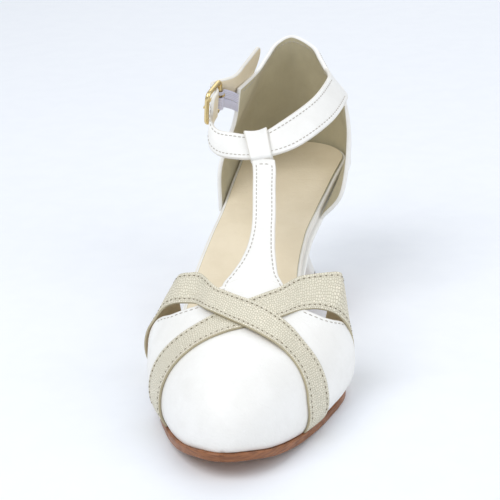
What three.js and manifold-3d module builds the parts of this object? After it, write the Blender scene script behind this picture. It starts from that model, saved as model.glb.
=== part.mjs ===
// Kitten heel T-strap sandal, right shoe: closed toe, crossed instep straps, ankle strap and cup heel.
// Millimetres. +X medial, -Y toe, +Z up. The origin is the middle of the forefoot tread on the floor.
import * as THREE from "three";
import { mergeVertices, toCreasedNormals } from "three/addons/utils/BufferGeometryUtils.js";
import Module from "manifold-3d";

const wasm = await Module();
wasm.setup();

// Named sizes
const LENGTH = 235; // insole, toe to heel
const BALL_WIDTH = 74.5; // insole at the ball
const HEEL_RISE = 55.6; // seat above the tread
const INSTEP = 80; // last height where the ankle strap crosses
const TREAD_AT = 68; // from the insole toe to the middle of the flat tread
const GAP = 0.3; // between pieces that meet
const RELIEF = 0.2; // between a crossed strap and the toe leather beside it
const SOLE_THICKNESS = 3.2;
const SHANK_THICKNESS = 2.2;
const INSOLE_THICKNESS = 2.4;
const SOCK_THICKNESS = 0.7;
const SOCK_INSET = 1.8;
const UPPER_WALL = 1.4;
const STRAP_WALL = 1.2;
const QUARTER_WALL = 2;
const ANKLE_STRAP_WIDTH = 13;
const ANKLE_STRAP_WALL = 1.6;
const LIFT_HEIGHT = 5.5;
const BREAST = 187; // heel breast line, from the insole toe
const BUCKLE_LENGTH = 15;
const BUCKLE_HEIGHT = 15.6;
const WIRE = 1.8;
const PRONG_RADIUS = 0.6;
const ELASTIC_WALL = 0.7;
const ELASTIC_WIDTH = 9.2;

const SEAT_PLANE = SOLE_THICKNESS + GAP; // underside of the insole above the rise curve
const STRAP_OVER_LAST = GAP + UPPER_WALL + GAP; // inner face of the crossed straps off the last

// Half outlines of the insole: share of length, medial and lateral shares of ball width
const OUTLINE = [
  { at: 0.0, medial: 0.376, lateral: 0.403 },
  { at: 0.064, medial: 0.38, lateral: 0.413 },
  { at: 0.132, medial: 0.392, lateral: 0.43 },
  { at: 0.174, medial: 0.408, lateral: 0.452 },
  { at: 0.226, medial: 0.432, lateral: 0.474 },
  { at: 0.264, medial: 0.462, lateral: 0.497 },
  { at: 0.302, medial: 0.482, lateral: 0.518 },
  { at: 0.336, medial: 0.472, lateral: 0.537 },
  { at: 0.366, medial: 0.43, lateral: 0.55 },
  { at: 0.417, medial: 0.369, lateral: 0.554 },
  { at: 0.481, medial: 0.275, lateral: 0.544 },
  { at: 0.54, medial: 0.199, lateral: 0.528 },
  { at: 0.6, medial: 0.164, lateral: 0.499 },
  { at: 0.664, medial: 0.185, lateral: 0.446 },
  { at: 0.723, medial: 0.239, lateral: 0.397 },
  { at: 0.787, medial: 0.295, lateral: 0.369 },
  { at: 0.855, medial: 0.342, lateral: 0.349 },
  { at: 0.919, medial: 0.362, lateral: 0.349 },
  { at: 1.0, medial: 0.362, lateral: 0.349 },
];
const TOE_CAP = { length: 60, power: 1.85 };
const HEEL_CAP = { length: 27, power: 2.2 };

// Underside of the foot above the tread: share of length, share of heel rise
const RISE = [
  { at: -0.03, rise: 0.158 },
  { at: 0.0, rise: 0.138 },
  { at: 0.043, rise: 0.085 },
  { at: 0.128, rise: 0.027 },
  { at: 0.226, rise: 0.0 },
  { at: 0.353, rise: 0.0 },
  { at: 0.426, rise: 0.038 },
  { at: 0.511, rise: 0.173 },
  { at: 0.596, rise: 0.385 },
  { at: 0.681, rise: 0.635 },
  { at: 0.766, rise: 0.827 },
  { at: 0.851, rise: 0.953 },
  { at: 1.0, rise: 1.0 },
];

// Crest of the last above the insole: share of length, share of instep height
const CREST = [
  { at: 0.0, height: 0.33 },
  { at: 0.085, height: 0.388 },
  { at: 0.183, height: 0.444 },
  { at: 0.264, height: 0.5 },
  { at: 0.34, height: 0.594 },
  { at: 0.404, height: 0.688 },
  { at: 0.489, height: 0.825 },
  { at: 0.587, height: 1.0 },
];
const CREST_CAP = { length: 26, power: 2 };

// How far the last swells past the insole edge: share of length, share of the half width
const SWELL = [
  { at: 0.0, share: 0.03 },
  { at: 0.064, share: 0.055 },
  { at: 0.15, share: 0.1 },
  { at: 0.226, share: 0.135 },
  { at: 0.34, share: 0.13 },
  { at: 0.42, share: 0.1 },
  { at: 1.0, share: 0.1 },
];
const SECTION_POWER = 2.15;
const LOWER_SHARE = 0.8;

// Sole edge outside the insole edge: share of length, millimetres
const SOLE_LEDGE = [
  { at: 0.0, out: 3.6 },
  { at: 0.1, out: 3 },
  { at: 0.2, out: 2.5 },
  { at: 0.34, out: 2.6 },
  { at: 0.49, out: 1.2 },
  { at: 1.0, out: 1.2 },
];
const SOLE_SECTION = [
  { at: -0.03, thickness: SOLE_THICKNESS },
  { at: 0.38, thickness: SOLE_THICKNESS },
  { at: 0.55, thickness: SHANK_THICKNESS },
  { at: 1.0, thickness: SHANK_THICKNESS },
];

// Rear edge of the closed toe: degrees round the last from the medial side, distance from the toe
const VAMP_EDGE = [
  { angle: -40, at: 78.5 },
  { angle: 5, at: 79 },
  { angle: 20, at: 79.5 },
  { angle: 37, at: 67.5 },
  { angle: 57, at: 65.8 },
  { angle: 72, at: 74.5 },
  { angle: 88, at: 76.5 },
  { angle: 103, at: 72.5 },
  { angle: 118, at: 64.2 },
  { angle: 135, at: 66 },
  { angle: 147, at: 76 },
  { angle: 170, at: 78 },
  { angle: 220, at: 78 },
];

// Centre of the T-strap: distance from the toe, sideways, height, half width
const T_STRAP = [
  { at: 60, x: 0.2, z: 43.2, half: 13.5 },
  { at: 68, x: 0.4, z: 47, half: 13 },
  { at: 74, x: 0.8, z: 49.9, half: 12.2 },
  { at: 79, x: 1.6, z: 52.2, half: 8.2 },
  { at: 85, x: 2.2, z: 55, half: 6 },
  { at: 94, x: 1.8, z: 59.6, half: 4.9 },
  { at: 104, x: 1, z: 65, half: 4.6 },
  { at: 120, x: -0.8, z: 75, half: 4.6 },
  { at: 130, x: -2, z: 80.6, half: 4.7 },
  { at: 135, x: -3.1, z: 83.2, half: 4.8 },
];

// Edges of the crossed straps, front edge then rear edge. Rows on the last carry an angle and a
// distance from the toe; rows off it carry a point (sideways, from the toe, height). The feet
// stand on the sole at the distances from the toe given here.
const OVER_FEET = [78, 90.5];
const UNDER_FEET = [79, 92];
const OVER_STRAP = [
  { front: [-43, 77.4, 5.6], rear: [-43.4, 90, 6] },
  { front: [-46.8, 76.6, 12], rear: [-46.8, 89.4, 12] },
  { front: [-47.4, 75.8, 19], rear: [-47.4, 88.6, 20] },
  { front: [-45.6, 74.8, 26], rear: [-45, 87.4, 27.6] },
  { front: [-41.8, 73.4, 32], rear: [-41.2, 86, 33.6] },
  { front: [-37.6, 71.8, 37.6], rear: [-37.2, 84.2, 40.4] },
  { front: [-32, 69.6, 41], rear: [-32.2, 82.2, 48.4] },
  { front: [-24.6, 66.2, 42.9], rear: [-24.4, 79, 51.2] },
];
const OVER_STRAP_LAST = [
  { front: [108, 57], rear: [104, 69.5] },
  { front: [96, 50], rear: [94, 65] },
  { front: [83, 43.6], rear: [79, 59] },
  { front: [68, 38.8], rear: [64, 52.8] },
  { front: [50, 36], rear: [45, 47] },
  { front: [30, 32.6], rear: [25, 43.8] },
  { front: [10, 29.6], rear: [8, 42.4] },
];
const UNDER_STRAP = [
  { front: [37.6, 78.6, 5.4], rear: [34, 91.6, 6.2] },
  { front: [40.8, 77.8, 11], rear: [38.6, 91, 13] },
  { front: [41.6, 76.8, 18.6], rear: [40, 90, 23] },
  { front: [40.9, 75.8, 26], rear: [39.6, 88.6, 33] },
  { front: [39, 74.4, 32], rear: [38.8, 87.4, 42.6] },
  { front: [34.6, 72.4, 37.4], rear: [36, 85.6, 50] },
  { front: [28.4, 69.4, 40.6], rear: [28.8, 82.8, 51] },
  { front: [22.6, 65.4, 42], rear: [21, 79.4, 51] },
];
const UNDER_STRAP_LAST = [
  { front: [70, 55.6], rear: [76, 71] },
  { front: [82, 48.4], rear: [87, 65] },
  { front: [97, 42], rear: [100, 57.6] },
  { front: [114, 36.4], rear: [116, 50.6] },
  { front: [131, 32.6], rear: [133, 46.6] },
  { front: [152, 30.4], rear: [152, 44.6] },
  { front: [171, 30], rear: [171, 44] },
];

// Heel cup: four rows of points from the sole to the topline, medial front edge round to lateral
const CUP_BASE = [170, 180, 198, 220, 235, 220, 198, 184, 173];
const CUP_LOW = [
  [28.4, 170.5, 57], [29.4, 185, 66], [29, 203, 72.5], [23.3, 225.6, 76], [0.2, 238.4, 77],
  [-22.4, 226, 76], [-28.8, 203, 72.5], [-30.2, 187, 69], [-29.8, 174, 67],
];
const CUP_HIGH = [
  [30.8, 180.5, 82], [28.8, 192, 87], [24.6, 208, 91.6], [17.4, 225.6, 95.6], [0, 236.4, 98],
  [-15.6, 226, 96], [-20.8, 210, 92], [-22.6, 196, 88.6], [-23.6, 182, 87],
];
const CUP_TOP = [
  [27, 195.4, 99.6], [18.8, 204, 106.2], [14, 216, 109.2], [9, 226.4, 113], [-1.4, 232, 116.6],
  [-8.8, 227.4, 114.2], [-12.2, 217, 110], [-15.4, 202, 106], [-20.4, 179.4, 103.6],
];

// Ankle strap centre and the vector across it in strap widths, from inside the medial wing to the
// free tip. Rows in the buckle are given along it from the front bar, outward from its plane and up
// from the middle of its height.
const ANKLE_STRAP = [
  { centre: [20.4, 208, 101.2], across: [-0.48, -0.14, 0.87] },
  { centre: [23.6, 199, 101.6], across: [-0.61, -0.1, 0.78] },
  { centre: [24.6, 186, 101.6], across: [-0.62, -0.01, 0.79] },
  { centre: [19.8, 163.6, 98], across: [-0.63, 0.09, 0.77] },
  { centre: [6.6, 146.2, 91.6], across: [-0.55, 0.42, 0.72] },
  { centre: [-6.4, 141.6, 87.4], across: [-0.13, 0.84, 0.53] },
  { centre: [-18.5, 143, 87.2], across: [-0.15, 0.77, 0.64] },
  { centre: [-26.2, 147.2, 87.8], across: [-0.08, 0.61, 0.69] },
  { centre: [-29.6, 151.8, 91.4], across: [0.05, 0.34, 0.78] },
  { along: 0.2, out: -2.8, up: 0 },
  { along: 7.4, out: -1.7, up: 0 },
  { along: 11.6, out: 1.6, up: 0 },
  { along: 15.2, out: 3.3, up: -1 },
  { centre: [-23.3, 178.6, 105.2], across: [0.19, -0.42, 0.88] },
  { centre: [-19.4, 185.2, 110.2], across: [0.28, -0.49, 0.83] },
  { centre: [-13.6, 198.6, 117], across: [0.29, -0.48, 0.83] },
];
const PRONG_SLOT = [10.15, 12.3]; // rows of the ankle strap
const TIP_ROW = 15; // length of the strap's last row
const LOOP_AT = 4.97; // row of the ankle strap under the folded loop
const LOOP_HALF = 0.36; // half width of the loop, in rows
const LOOP_SKEW = 0.045; // lean of the loop, in rows
const LOOP_TAPER = 0.2; // keeps its sides parallel where the strap fans
const LOOP_SLACK = 0.5;

const BUCKLE = {
  corner: [-32.6, 158, 92.4],
  along: [0.24, 0.94, 0.24],
  up: [0.14, -0.2, 0.965],
};

// Heel rings: height, half width, breast and back distance from the toe
const HEEL = [
  { z: LIFT_HEIGHT + GAP, half: 11.4, breast: 188.6, back: 211 },
  { z: 12, half: 9.3, breast: 188.8, back: 209.8 },
  { z: 20, half: 7.8, breast: 188.8, back: 210.4 },
  { z: 28, half: 9.4, breast: 188.6, back: 214.8 },
  { z: 37, half: 14, breast: 188.2, back: 222.6 },
  { z: 45, half: 21, breast: 187.6, back: 230 },
];

const clamp = (value, low, high) => Math.min(high, Math.max(low, value));
const vector = (x, at, z) => new THREE.Vector3(x, at, z);
const place = (point) => new THREE.Vector3(point.x, point.y - TREAD_AT, point.z);
const smooth = (low, high, value) => {
  const share = clamp((value - low) / (high - low), 0, 1);
  return share * share * (3 - 2 * share);
};

// Shape-preserving cubic through one column of a table
function curve(table, key, column) {
  const x = table.map((row) => row[key]);
  const y = table.map((row) => row[column]);
  const last = x.length - 1;
  const step = x.slice(1).map((value, i) => value - x[i]);
  const slope = step.map((width, i) => (y[i + 1] - y[i]) / width);
  const tangent = y.map((_, i) => {
    if (i === 0 || i === last) return slope[i === 0 ? 0 : last - 1];
    if (slope[i - 1] * slope[i] <= 0) return 0;
    const before = 2 * step[i] + step[i - 1];
    const after = step[i] + 2 * step[i - 1];
    return (before + after) / (before / slope[i - 1] + after / slope[i]);
  });
  return (value) => {
    const q = clamp(value, x[0], x[last]);
    let i = 0;
    while (i < last - 1 && q > x[i + 1]) i += 1;
    const t = (q - x[i]) / step[i];
    const h = step[i];
    return (
      y[i] * (1 + 2 * t) * (1 - t) * (1 - t) +
      tangent[i] * h * t * (1 - t) * (1 - t) +
      y[i + 1] * t * t * (3 - 2 * t) +
      tangent[i + 1] * h * t * t * (t - 1)
    );
  };
}

// Smooth curve through a list of equal-length number lists
function through(rows) {
  const last = rows.length - 1;
  return (position) => {
    const q = clamp(position, 0, last);
    const i = Math.min(Math.floor(q), last - 1);
    const t = q - i;
    const row = (k) => rows[clamp(k, 0, last)];
    return rows[0].map((_, c) => {
      const p0 = i === 0 ? 2 * row(0)[c] - row(1)[c] : row(i - 1)[c];
      const p1 = row(i)[c];
      const p2 = row(i + 1)[c];
      const p3 = i + 2 > last ? 2 * p2 - p1 : row(i + 2)[c];
      const a = 2 * p1;
      const b = p2 - p0;
      const d = 2 * p0 - 5 * p1 + 4 * p2 - p3;
      const e = 3 * p1 - p0 - 3 * p2 + p3;
      return 0.5 * (a + b * t + d * t * t + e * t * t * t);
    });
  };
}

const medialCurve = curve(OUTLINE, "at", "medial");
const lateralCurve = curve(OUTLINE, "at", "lateral");
const riseCurve = curve(RISE, "at", "rise");
const crestCurve = curve(CREST, "at", "height");
const swellCurve = curve(SWELL, "at", "share");
const ledgeCurve = curve(SOLE_LEDGE, "at", "out");
const soleCurve = curve(SOLE_SECTION, "at", "thickness");

const cap = (distance, { length, power }) => {
  const q = clamp(1 - distance / length, 0, 1);
  return Math.pow(1 - Math.pow(q, power), 1 / power);
};
const rise = (at) => HEEL_RISE * riseCurve(at / LENGTH);
const seat = (at) => SEAT_PLANE + rise(at);

function section(at) {
  const share = clamp(at / LENGTH, 0, 1);
  const medial = BALL_WIDTH * medialCurve(share);
  const lateral = BALL_WIDTH * lateralCurve(share);
  const ends = cap(at, TOE_CAP) * cap(LENGTH - at, HEEL_CAP);
  return { centre: (medial - lateral) / 2, half: ((medial + lateral) / 2) * ends };
}

// Insole edge moved outward in plan; side is 1 medial, -1 lateral
function rim(at, side, out) {
  const near = clamp(at, 0.01, LENGTH - 0.01);
  const step = Math.min(0.2, near / 2, (LENGTH - near) / 2);
  const edge = (distance) => {
    const { centre, half } = section(distance);
    return centre + side * half;
  };
  const slope = (edge(near + step) - edge(near - step)) / (2 * step);
  const norm = Math.hypot(1, slope);
  return { x: edge(near) + (side * out) / norm, at: near - (side * slope * out) / norm };
}

// The last: angle 0 medial, 90 crest, 180 lateral
function lastPoint(at, angle) {
  const near = clamp(at, 0, LENGTH);
  const { centre, half } = section(near);
  const swell = swellCurve(near / LENGTH);
  const crest = INSTEP * crestCurve(near / LENGTH) * cap(near, CREST_CAP);
  const tuck = tuckAngle(near);
  const upper = crest / (1 + LOWER_SHARE * Math.sin(tuck));
  const middle = seat(near) + LOWER_SHARE * upper * Math.sin(tuck);
  const c = Math.cos(angle);
  const s = Math.sin(angle);
  const x = centre + half * (1 + swell) * Math.sign(c) * Math.pow(Math.abs(c), 2 / SECTION_POWER);
  const z = middle + (s >= 0 ? upper * Math.pow(s, 2 / SECTION_POWER) : LOWER_SHARE * upper * s);
  return vector(x, near, z);
}

function tuckAngle(at) {
  const swell = swellCurve(clamp(at / LENGTH, 0, 1));
  return Math.acos(Math.pow(1 / (1 + swell), SECTION_POWER / 2));
}

// Last surface moved outward; level at the insole edge so that walls stand on the sole
function overLast(at, angle, out) {
  const near = Math.max(at, 0.02);
  const point = lastPoint(near, angle);
  const step = Math.min(0.3, near / 2);
  const alongward = lastPoint(near + step, angle).sub(lastPoint(near - step, angle));
  const roundward = lastPoint(near, angle + 0.02).sub(lastPoint(near, angle - 0.02));
  const normal = roundward.cross(alongward).normalize();
  const { centre } = section(near);
  const outward = vector(point.x - centre, 0, point.z - seat(near));
  if (near > 2 && normal.dot(outward) < 0) normal.negate();
  if (near <= 2 && normal.y > 0) normal.negate();
  const tuck = tuckAngle(near);
  const fromEdge = Math.min(angle + tuck, Math.PI + tuck - angle);
  const lifted = smooth(0, 0.35, fromEdge);
  normal.z *= lifted;
  normal.normalize();
  point.addScaledVector(normal, out);
  point.z += (seat(point.y) - seat(near)) * (1 - lifted);
  return point;
}

// Closed body from positions and triangles, welded and turned to face out
function body(positions, triangles) {
  const geometry = new THREE.BufferGeometry();
  geometry.setAttribute("position", new THREE.Float32BufferAttribute(positions.flatMap((p) => [p.x, p.y, p.z]), 3));
  geometry.setIndex(triangles.flat());
  const welded = mergeVertices(geometry, 1e-3);
  const index = Array.from(welded.index.array);
  const kept = [];
  for (let i = 0; i < index.length; i += 3) {
    const [a, b, c] = index.slice(i, i + 3);
    if (a !== b && b !== c && c !== a) kept.push(a, b, c);
  }
  const position = welded.attributes.position;
  let volume = 0;
  for (let i = 0; i < kept.length; i += 3) {
    const [a, b, c] = [0, 1, 2].map((k) => new THREE.Vector3().fromBufferAttribute(position, kept[i + k]));
    volume += a.dot(b.cross(c));
  }
  if (volume < 0) {
    for (let i = 0; i < kept.length; i += 3) [kept[i + 1], kept[i + 2]] = [kept[i + 2], kept[i + 1]];
  }
  welded.setIndex(kept);
  return welded;
}

// Rings joined in order, flat ends closed by a fan; closed when the last ring meets the first
function loft(rings, closed = false) {
  const count = rings[0].length;
  const positions = rings.flat();
  const triangles = [];
  const spans = closed ? rings.length : rings.length - 1;
  for (let i = 0; i < spans; i += 1) {
    const a = i * count;
    const b = ((i + 1) % rings.length) * count;
    for (let j = 0; j < count; j += 1) {
      const k = (j + 1) % count;
      triangles.push([a + j, a + k, b + k], [a + j, b + k, b + j]);
    }
  }
  if (!closed) {
    [0, rings.length - 1].forEach((r, end) => {
      const middle = positions.length;
      const sum = rings[r].reduce((total, p) => total.add(p), new THREE.Vector3());
      positions.push(sum.divideScalar(count));
      for (let j = 0; j < count; j += 1) {
        const a = r * count + j;
        const b = r * count + ((j + 1) % count);
        triangles.push(end === 0 ? [middle, b, a] : [middle, a, b]);
      }
    });
  }
  return body(positions, triangles);
}

// Two matching grids of points joined all round their borders
function shell(outer, inner) {
  const rows = outer.length;
  const columns = outer[0].length;
  const positions = [...outer.flat(), ...inner.flat()];
  const offset = rows * columns;
  const at = (i, j) => i * columns + j;
  const triangles = [];
  const quad = (a, b, c, d) => triangles.push([a, b, c], [a, c, d]);
  for (let i = 0; i < rows - 1; i += 1) {
    for (let j = 0; j < columns - 1; j += 1) {
      quad(at(i, j), at(i, j + 1), at(i + 1, j + 1), at(i + 1, j));
      quad(offset + at(i, j), offset + at(i + 1, j), offset + at(i + 1, j + 1), offset + at(i, j + 1));
    }
    quad(at(i + 1, 0), offset + at(i + 1, 0), offset + at(i, 0), at(i, 0));
    const edge = columns - 1;
    quad(at(i, edge), offset + at(i, edge), offset + at(i + 1, edge), at(i + 1, edge));
  }
  for (let j = 0; j < columns - 1; j += 1) {
    quad(at(0, j), offset + at(0, j), offset + at(0, j + 1), at(0, j + 1));
    const end = rows - 1;
    quad(at(end, j + 1), offset + at(end, j + 1), offset + at(end, j), at(end, j));
  }
  return body(positions, triangles);
}

const toManifold = (geometry) =>
  new wasm.Manifold(
    new wasm.Mesh({
      numProp: 3,
      vertProperties: new Float32Array(geometry.attributes.position.array),
      triVerts: new Uint32Array(geometry.index.array),
    }),
  );

function fromManifold(solid) {
  const mesh = solid.getMesh();
  const geometry = new THREE.BufferGeometry();
  geometry.setAttribute("position", new THREE.Float32BufferAttribute(mesh.vertProperties, 3));
  geometry.setIndex(new THREE.Uint32BufferAttribute(mesh.triVerts, 1));
  return geometry;
}

const join = (...geometries) => fromManifold(geometries.map(toManifold).reduce((a, b) => a.add(b)));
const cut = (geometry, tool) => fromManifold(toManifold(geometry).subtract(toManifold(tool)));

// Bar with a square-cornered section along a polyline of frames
function bar(frames, halfWidth, halfThickness) {
  return loft(
    frames.map(({ centre, across, out }) =>
      [[1, 1], [-1, 1], [-1, -1], [1, -1]].map(([w, t]) =>
        centre.clone().addScaledVector(across, w * halfWidth).addScaledVector(out, t * halfThickness),
      ),
    ),
  );
}

// Plate between two heights over the insole outline, with eased edges
function plate({ from, to, out, bottom, top, ease, stations }) {
  const rings = [];
  for (let i = 0; i <= stations; i += 1) {
    const share = i / stations;
    const at = from + ((to - from) * (1 - Math.cos(Math.PI * share))) / 2;
    const low = (side, inset, lift) => {
      const edge = rim(at, side, out(at) - inset);
      return place(vector(edge.x, edge.at, bottom(edge.at) + lift));
    };
    const high = (side, inset, drop) => {
      const edge = rim(at, side, out(at) - inset);
      return place(vector(edge.x, edge.at, top(edge.at) - drop));
    };
    const across = (make) =>
      [0.5].map((k) => {
        const left = make(-1, ease, 0);
        return make(1, ease, 0).lerp(left, k);
      });
    rings.push([
      low(1, ease, 0), low(1, 0, ease), high(1, 0, ease), high(1, ease, 0),
      ...across(high).reverse(),
      high(-1, ease, 0), high(-1, 0, ease), low(-1, 0, ease), low(-1, ease, 0),
      ...across(low),
    ]);
  }
  return loft(rings);
}

function outsole() {
  return plate({
    from: 0.05,
    to: BREAST - GAP,
    out: (at) => ledgeCurve(at / LENGTH),
    bottom: (at) => rise(at) + SOLE_THICKNESS - soleCurve(at / LENGTH),
    top: (at) => rise(at) + SOLE_THICKNESS,
    ease: 0.5,
    stations: 38,
  });
}

function insole() {
  return plate({
    from: 0.05,
    to: LENGTH - 0.05,
    out: () => -GAP / 2,
    bottom: seat,
    top: (at) => seat(at) + INSOLE_THICKNESS,
    ease: 0.3,
    stations: 38,
  });
}

function sock() {
  const base = INSOLE_THICKNESS + GAP;
  return plate({
    from: 0.05,
    to: LENGTH - 0.05,
    out: () => -SOCK_INSET,
    bottom: (at) => seat(at) + base,
    top: (at) => seat(at) + base + SOCK_THICKNESS,
    ease: 0.15,
    stations: 38,
  });
}

// Ring of the heel, front to back on the medial side and back to front on the lateral side
function heelRing(shape, z) {
  const steps = 14;
  const medial = [];
  const lateral = [];
  for (let i = 0; i <= steps; i += 1) {
    const t = (1 - Math.cos((Math.PI * i) / steps)) / 2;
    const [right, left] = shape(t);
    medial.push(place(vector(right.x, right.at, z(right.at))));
    lateral.push(place(vector(left.x, left.at, z(left.at))));
  }
  return [...medial, ...lateral.reverse()];
}

function heelShape({ half, breast, back }, grow) {
  return (t) => {
    const depth = back - breast;
    const ends = cap(t * depth + 0.35, { length: 4, power: 2 });
    const round = cap((1 - t) * depth, { length: depth * 0.62, power: 2.1 });
    const width = half * ends * round + grow * Math.min(1, round * 3);
    const at = breast - grow + (depth + 2 * grow) * t;
    return [{ x: width, at }, { x: -width, at }];
  };
}

function seatShape(t) {
  const at = BREAST + (LENGTH - 0.02 - BREAST) * t;
  return [rim(at, 1, 1.6), rim(at, -1, 1.6)];
}

function heel() {
  const rings = HEEL.map((row) => heelRing(heelShape(row, 0), () => row.z));
  const top = heelRing(seatShape, (at) => rise(at) + SOLE_THICKNESS);
  const below = heelRing(seatShape, (at) => rise(at) + SOLE_THICKNESS - 1.8);
  const last = rings[rings.length - 1];
  const between = last.map((point, i) => point.clone().lerp(below[i], 0.6));
  between.forEach((point, i) => {
    point.z = last[i].z + (below[i].z - last[i].z) * 0.45;
  });
  rings.push(between, below);
  return ladder([...rings, top]);
}

// Loft whose end rings are closed straight across between matching sides
function ladder(rings) {
  const count = rings[0].length;
  const positions = rings.flat();
  const triangles = [];
  for (let i = 0; i < rings.length - 1; i += 1) {
    for (let j = 0; j < count; j += 1) {
      const k = (j + 1) % count;
      const a = i * count;
      triangles.push([a + j, a + k, a + count + k], [a + j, a + count + k, a + count + j]);
    }
  }
  [0, rings.length - 1].forEach((r, end) => {
    const a = r * count;
    for (let j = 0; j < count / 2 - 1; j += 1) {
      const quad = [a + j, a + j + 1, a + count - 2 - j, a + count - 1 - j];
      const [p, q, s, t] = end === 0 ? quad.slice().reverse() : quad;
      triangles.push([p, q, s], [p, s, t]);
    }
  });
  return body(positions, triangles);
}

function topLift() {
  const shape = heelShape(HEEL[0], 0.25);
  return ladder([heelRing(shape, () => 0), heelRing(shape, () => LIFT_HEIGHT)]);
}

// Strip between two edge curves, thickened both ways
function strip(rows, across, thickness) {
  const grids = [1, -1].map((face) =>
    rows.map(({ front, rear, out }) => {
      const points = [];
      for (let j = 0; j <= across; j += 1) {
        const point = front.clone().lerp(rear, j / across);
        points.push(place(point.addScaledVector(out, (face * thickness) / 2)));
      }
      return points;
    }),
  );
  return shell(grids[0], grids[1]);
}

// Rows of a crossed strap: from its foot up through the free points, then along the last
function strapRows({ feet, free, laid, side, lift }) {
  const foot = feet.flatMap((at) => {
    const edge = rim(at, side, GAP + STRAP_WALL / 2);
    return [edge.x, edge.at, seat(edge.at)];
  });
  const freeRow = through([foot, ...free.map((row) => [...row.front, ...row.rear])]);
  const laidRow = through(laid.map((row) => [...row.front, ...row.rear]));
  const rows = [];
  const freeSteps = 20;
  for (let i = 0; i <= freeSteps; i += 1) {
    const q = freeRow((free.length * i) / freeSteps);
    rows.push({ front: vector(q[0], q[1], q[2]), rear: vector(q[3], q[4], q[5]) });
  }
  const laidSteps = 20;
  const footSteps = 4;
  for (let i = 0; i <= laidSteps + footSteps; i += 1) {
    const q = laidRow(Math.min(i / laidSteps, 1) * (laid.length - 1));
    const down = Math.max(0, (i - laidSteps) / footSteps);
    const footAngle = (at) => (side < 0 ? -tuckAngle(at) : Math.PI + tuckAngle(at));
    const point = (t, face) => {
      const at = THREE.MathUtils.lerp(q[1], q[3], t);
      const degrees = THREE.MathUtils.lerp(q[0], q[2], t);
      const angle = THREE.MathUtils.lerp(THREE.MathUtils.degToRad(degrees), footAngle(at), down);
      return overLast(at, angle, STRAP_OVER_LAST + STRAP_WALL / 2 + lift(degrees) + face);
    };
    rows.push({ point, front: point(0, 0), rear: point(1, 0) });
  }
  return rows;
}

// Crossed strap of the given thickness, its edges moved out by a margin
function strapBody(rows, thickness, margin) {
  const across = 3;
  const grids = [1, -1].map((face) =>
    rows.map((row, i) => {
      const before = rows[Math.max(i - 1, 0)];
      const after = rows[Math.min(i + 1, rows.length - 1)];
      const along = after.front.clone().add(after.rear).sub(before.front).sub(before.rear);
      const over = row.rear.clone().sub(row.front);
      const width = over.length();
      const out = along.cross(over).normalize();
      if (out.dot(vector(row.front.x, 0, row.front.z - 15)) < 0) out.negate();
      const height = row.front.z - seat(row.front.y);
      out.z *= smooth(0, 5, height);
      out.normalize();
      const points = [];
      for (let j = 0; j <= across; j += 1) {
        const t = THREE.MathUtils.lerp(-margin / width, 1 + margin / width, j / across);
        const offset = (face * thickness) / 2;
        const flat = row.front.clone().lerp(row.rear, t).addScaledVector(out, offset);
        points.push(place(row.point ? row.point(t, offset) : flat));
      }
      return points;
    }),
  );
  return shell(grids[0], grids[1]);
}

const underStrap = strapRows({
  feet: UNDER_FEET,
  free: UNDER_STRAP,
  laid: UNDER_STRAP_LAST,
  side: 1,
  lift: () => 0,
});

const overStrap = strapRows({
  feet: OVER_FEET,
  free: OVER_STRAP,
  laid: OVER_STRAP_LAST,
  side: -1,
  lift: (degrees) => (STRAP_WALL - 0.1) * smooth(46, 68, degrees) * (1 - smooth(110, 128, degrees)),
});

function crossedStraps() {
  return join(strapBody(underStrap, STRAP_WALL, 0), strapBody(overStrap, STRAP_WALL, 0));
}

function vampShell() {
  const rows = 20;
  const columns = 36;
  const edge = curve(VAMP_EDGE, "angle", "at");
  const grid = (out) => {
    const points = [];
    for (let i = 0; i <= rows; i += 1) {
      const share = Math.pow(i / rows, 1.5);
      const line = [];
      for (let j = 0; j <= columns; j += 1) {
        const tuck = tuckAngle(LENGTH * 0.3 * share);
        const around = -tuck + ((Math.PI + 2 * tuck) * j) / columns;
        const reach = edge(THREE.MathUtils.radToDeg(around));
        const at = Math.max(reach * share, 0.02);
        const own = tuckAngle(at);
        const angle = -own + ((Math.PI + 2 * own) * j) / columns;
        line.push(place(i === 0 ? vector(section(0.02).centre, -out, seat(-out)) : overLast(at, angle, out)));
      }
      points.push(line);
    }
    return points;
  };
  return shell(grid(GAP + UPPER_WALL), grid(GAP));
}

// Largest separate body of a solid
function largest(solid) {
  return solid.decompose().reduce((best, piece) => (piece.volume() > best.volume() ? piece : best));
}

function tStrap() {
  const rows = 22;
  const across = 4;
  const columns = ["x", "z", "half"].map((column) => curve(T_STRAP, "at", column));
  const first = T_STRAP[0].at;
  const last = T_STRAP[T_STRAP.length - 1].at;
  const middle = (at, share) => {
    const [x, z, half] = columns.map((column) => column(at));
    const side = x + half * share;
    const { centre, half: width } = section(at);
    const q = clamp((side - centre) / (width * (1 + swellCurve(at / LENGTH))), -1, 1);
    const angle = Math.acos(Math.sign(q) * Math.pow(Math.abs(q), SECTION_POWER / 2));
    const laid = overLast(at, angle, GAP + UPPER_WALL / 2);
    const taut = vector(side, at, z - (half * share) ** 2 / 80);
    return laid.lerp(taut, smooth(70, 88, at));
  };
  const grid = (face) => {
    const points = [];
    for (let i = 0; i <= rows; i += 1) {
      const at = first + ((last - first) * i) / rows;
      const line = [];
      for (let j = 0; j <= across; j += 1) {
        const share = (2 * j) / across - 1;
        const along = middle(Math.min(at + 0.5, last), share).sub(middle(at - 0.5, share));
        const sideways = middle(at, share + 0.05).sub(middle(at, share - 0.05));
        const normal = sideways.cross(along).normalize();
        if (normal.z < 0) normal.negate();
        line.push(place(middle(at, share).addScaledVector(normal, (face * (UPPER_WALL - 0.2)) / 2)));
      }
      points.push(line);
    }
    return points;
  };
  return shell(grid(1), grid(-1));
}

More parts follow.
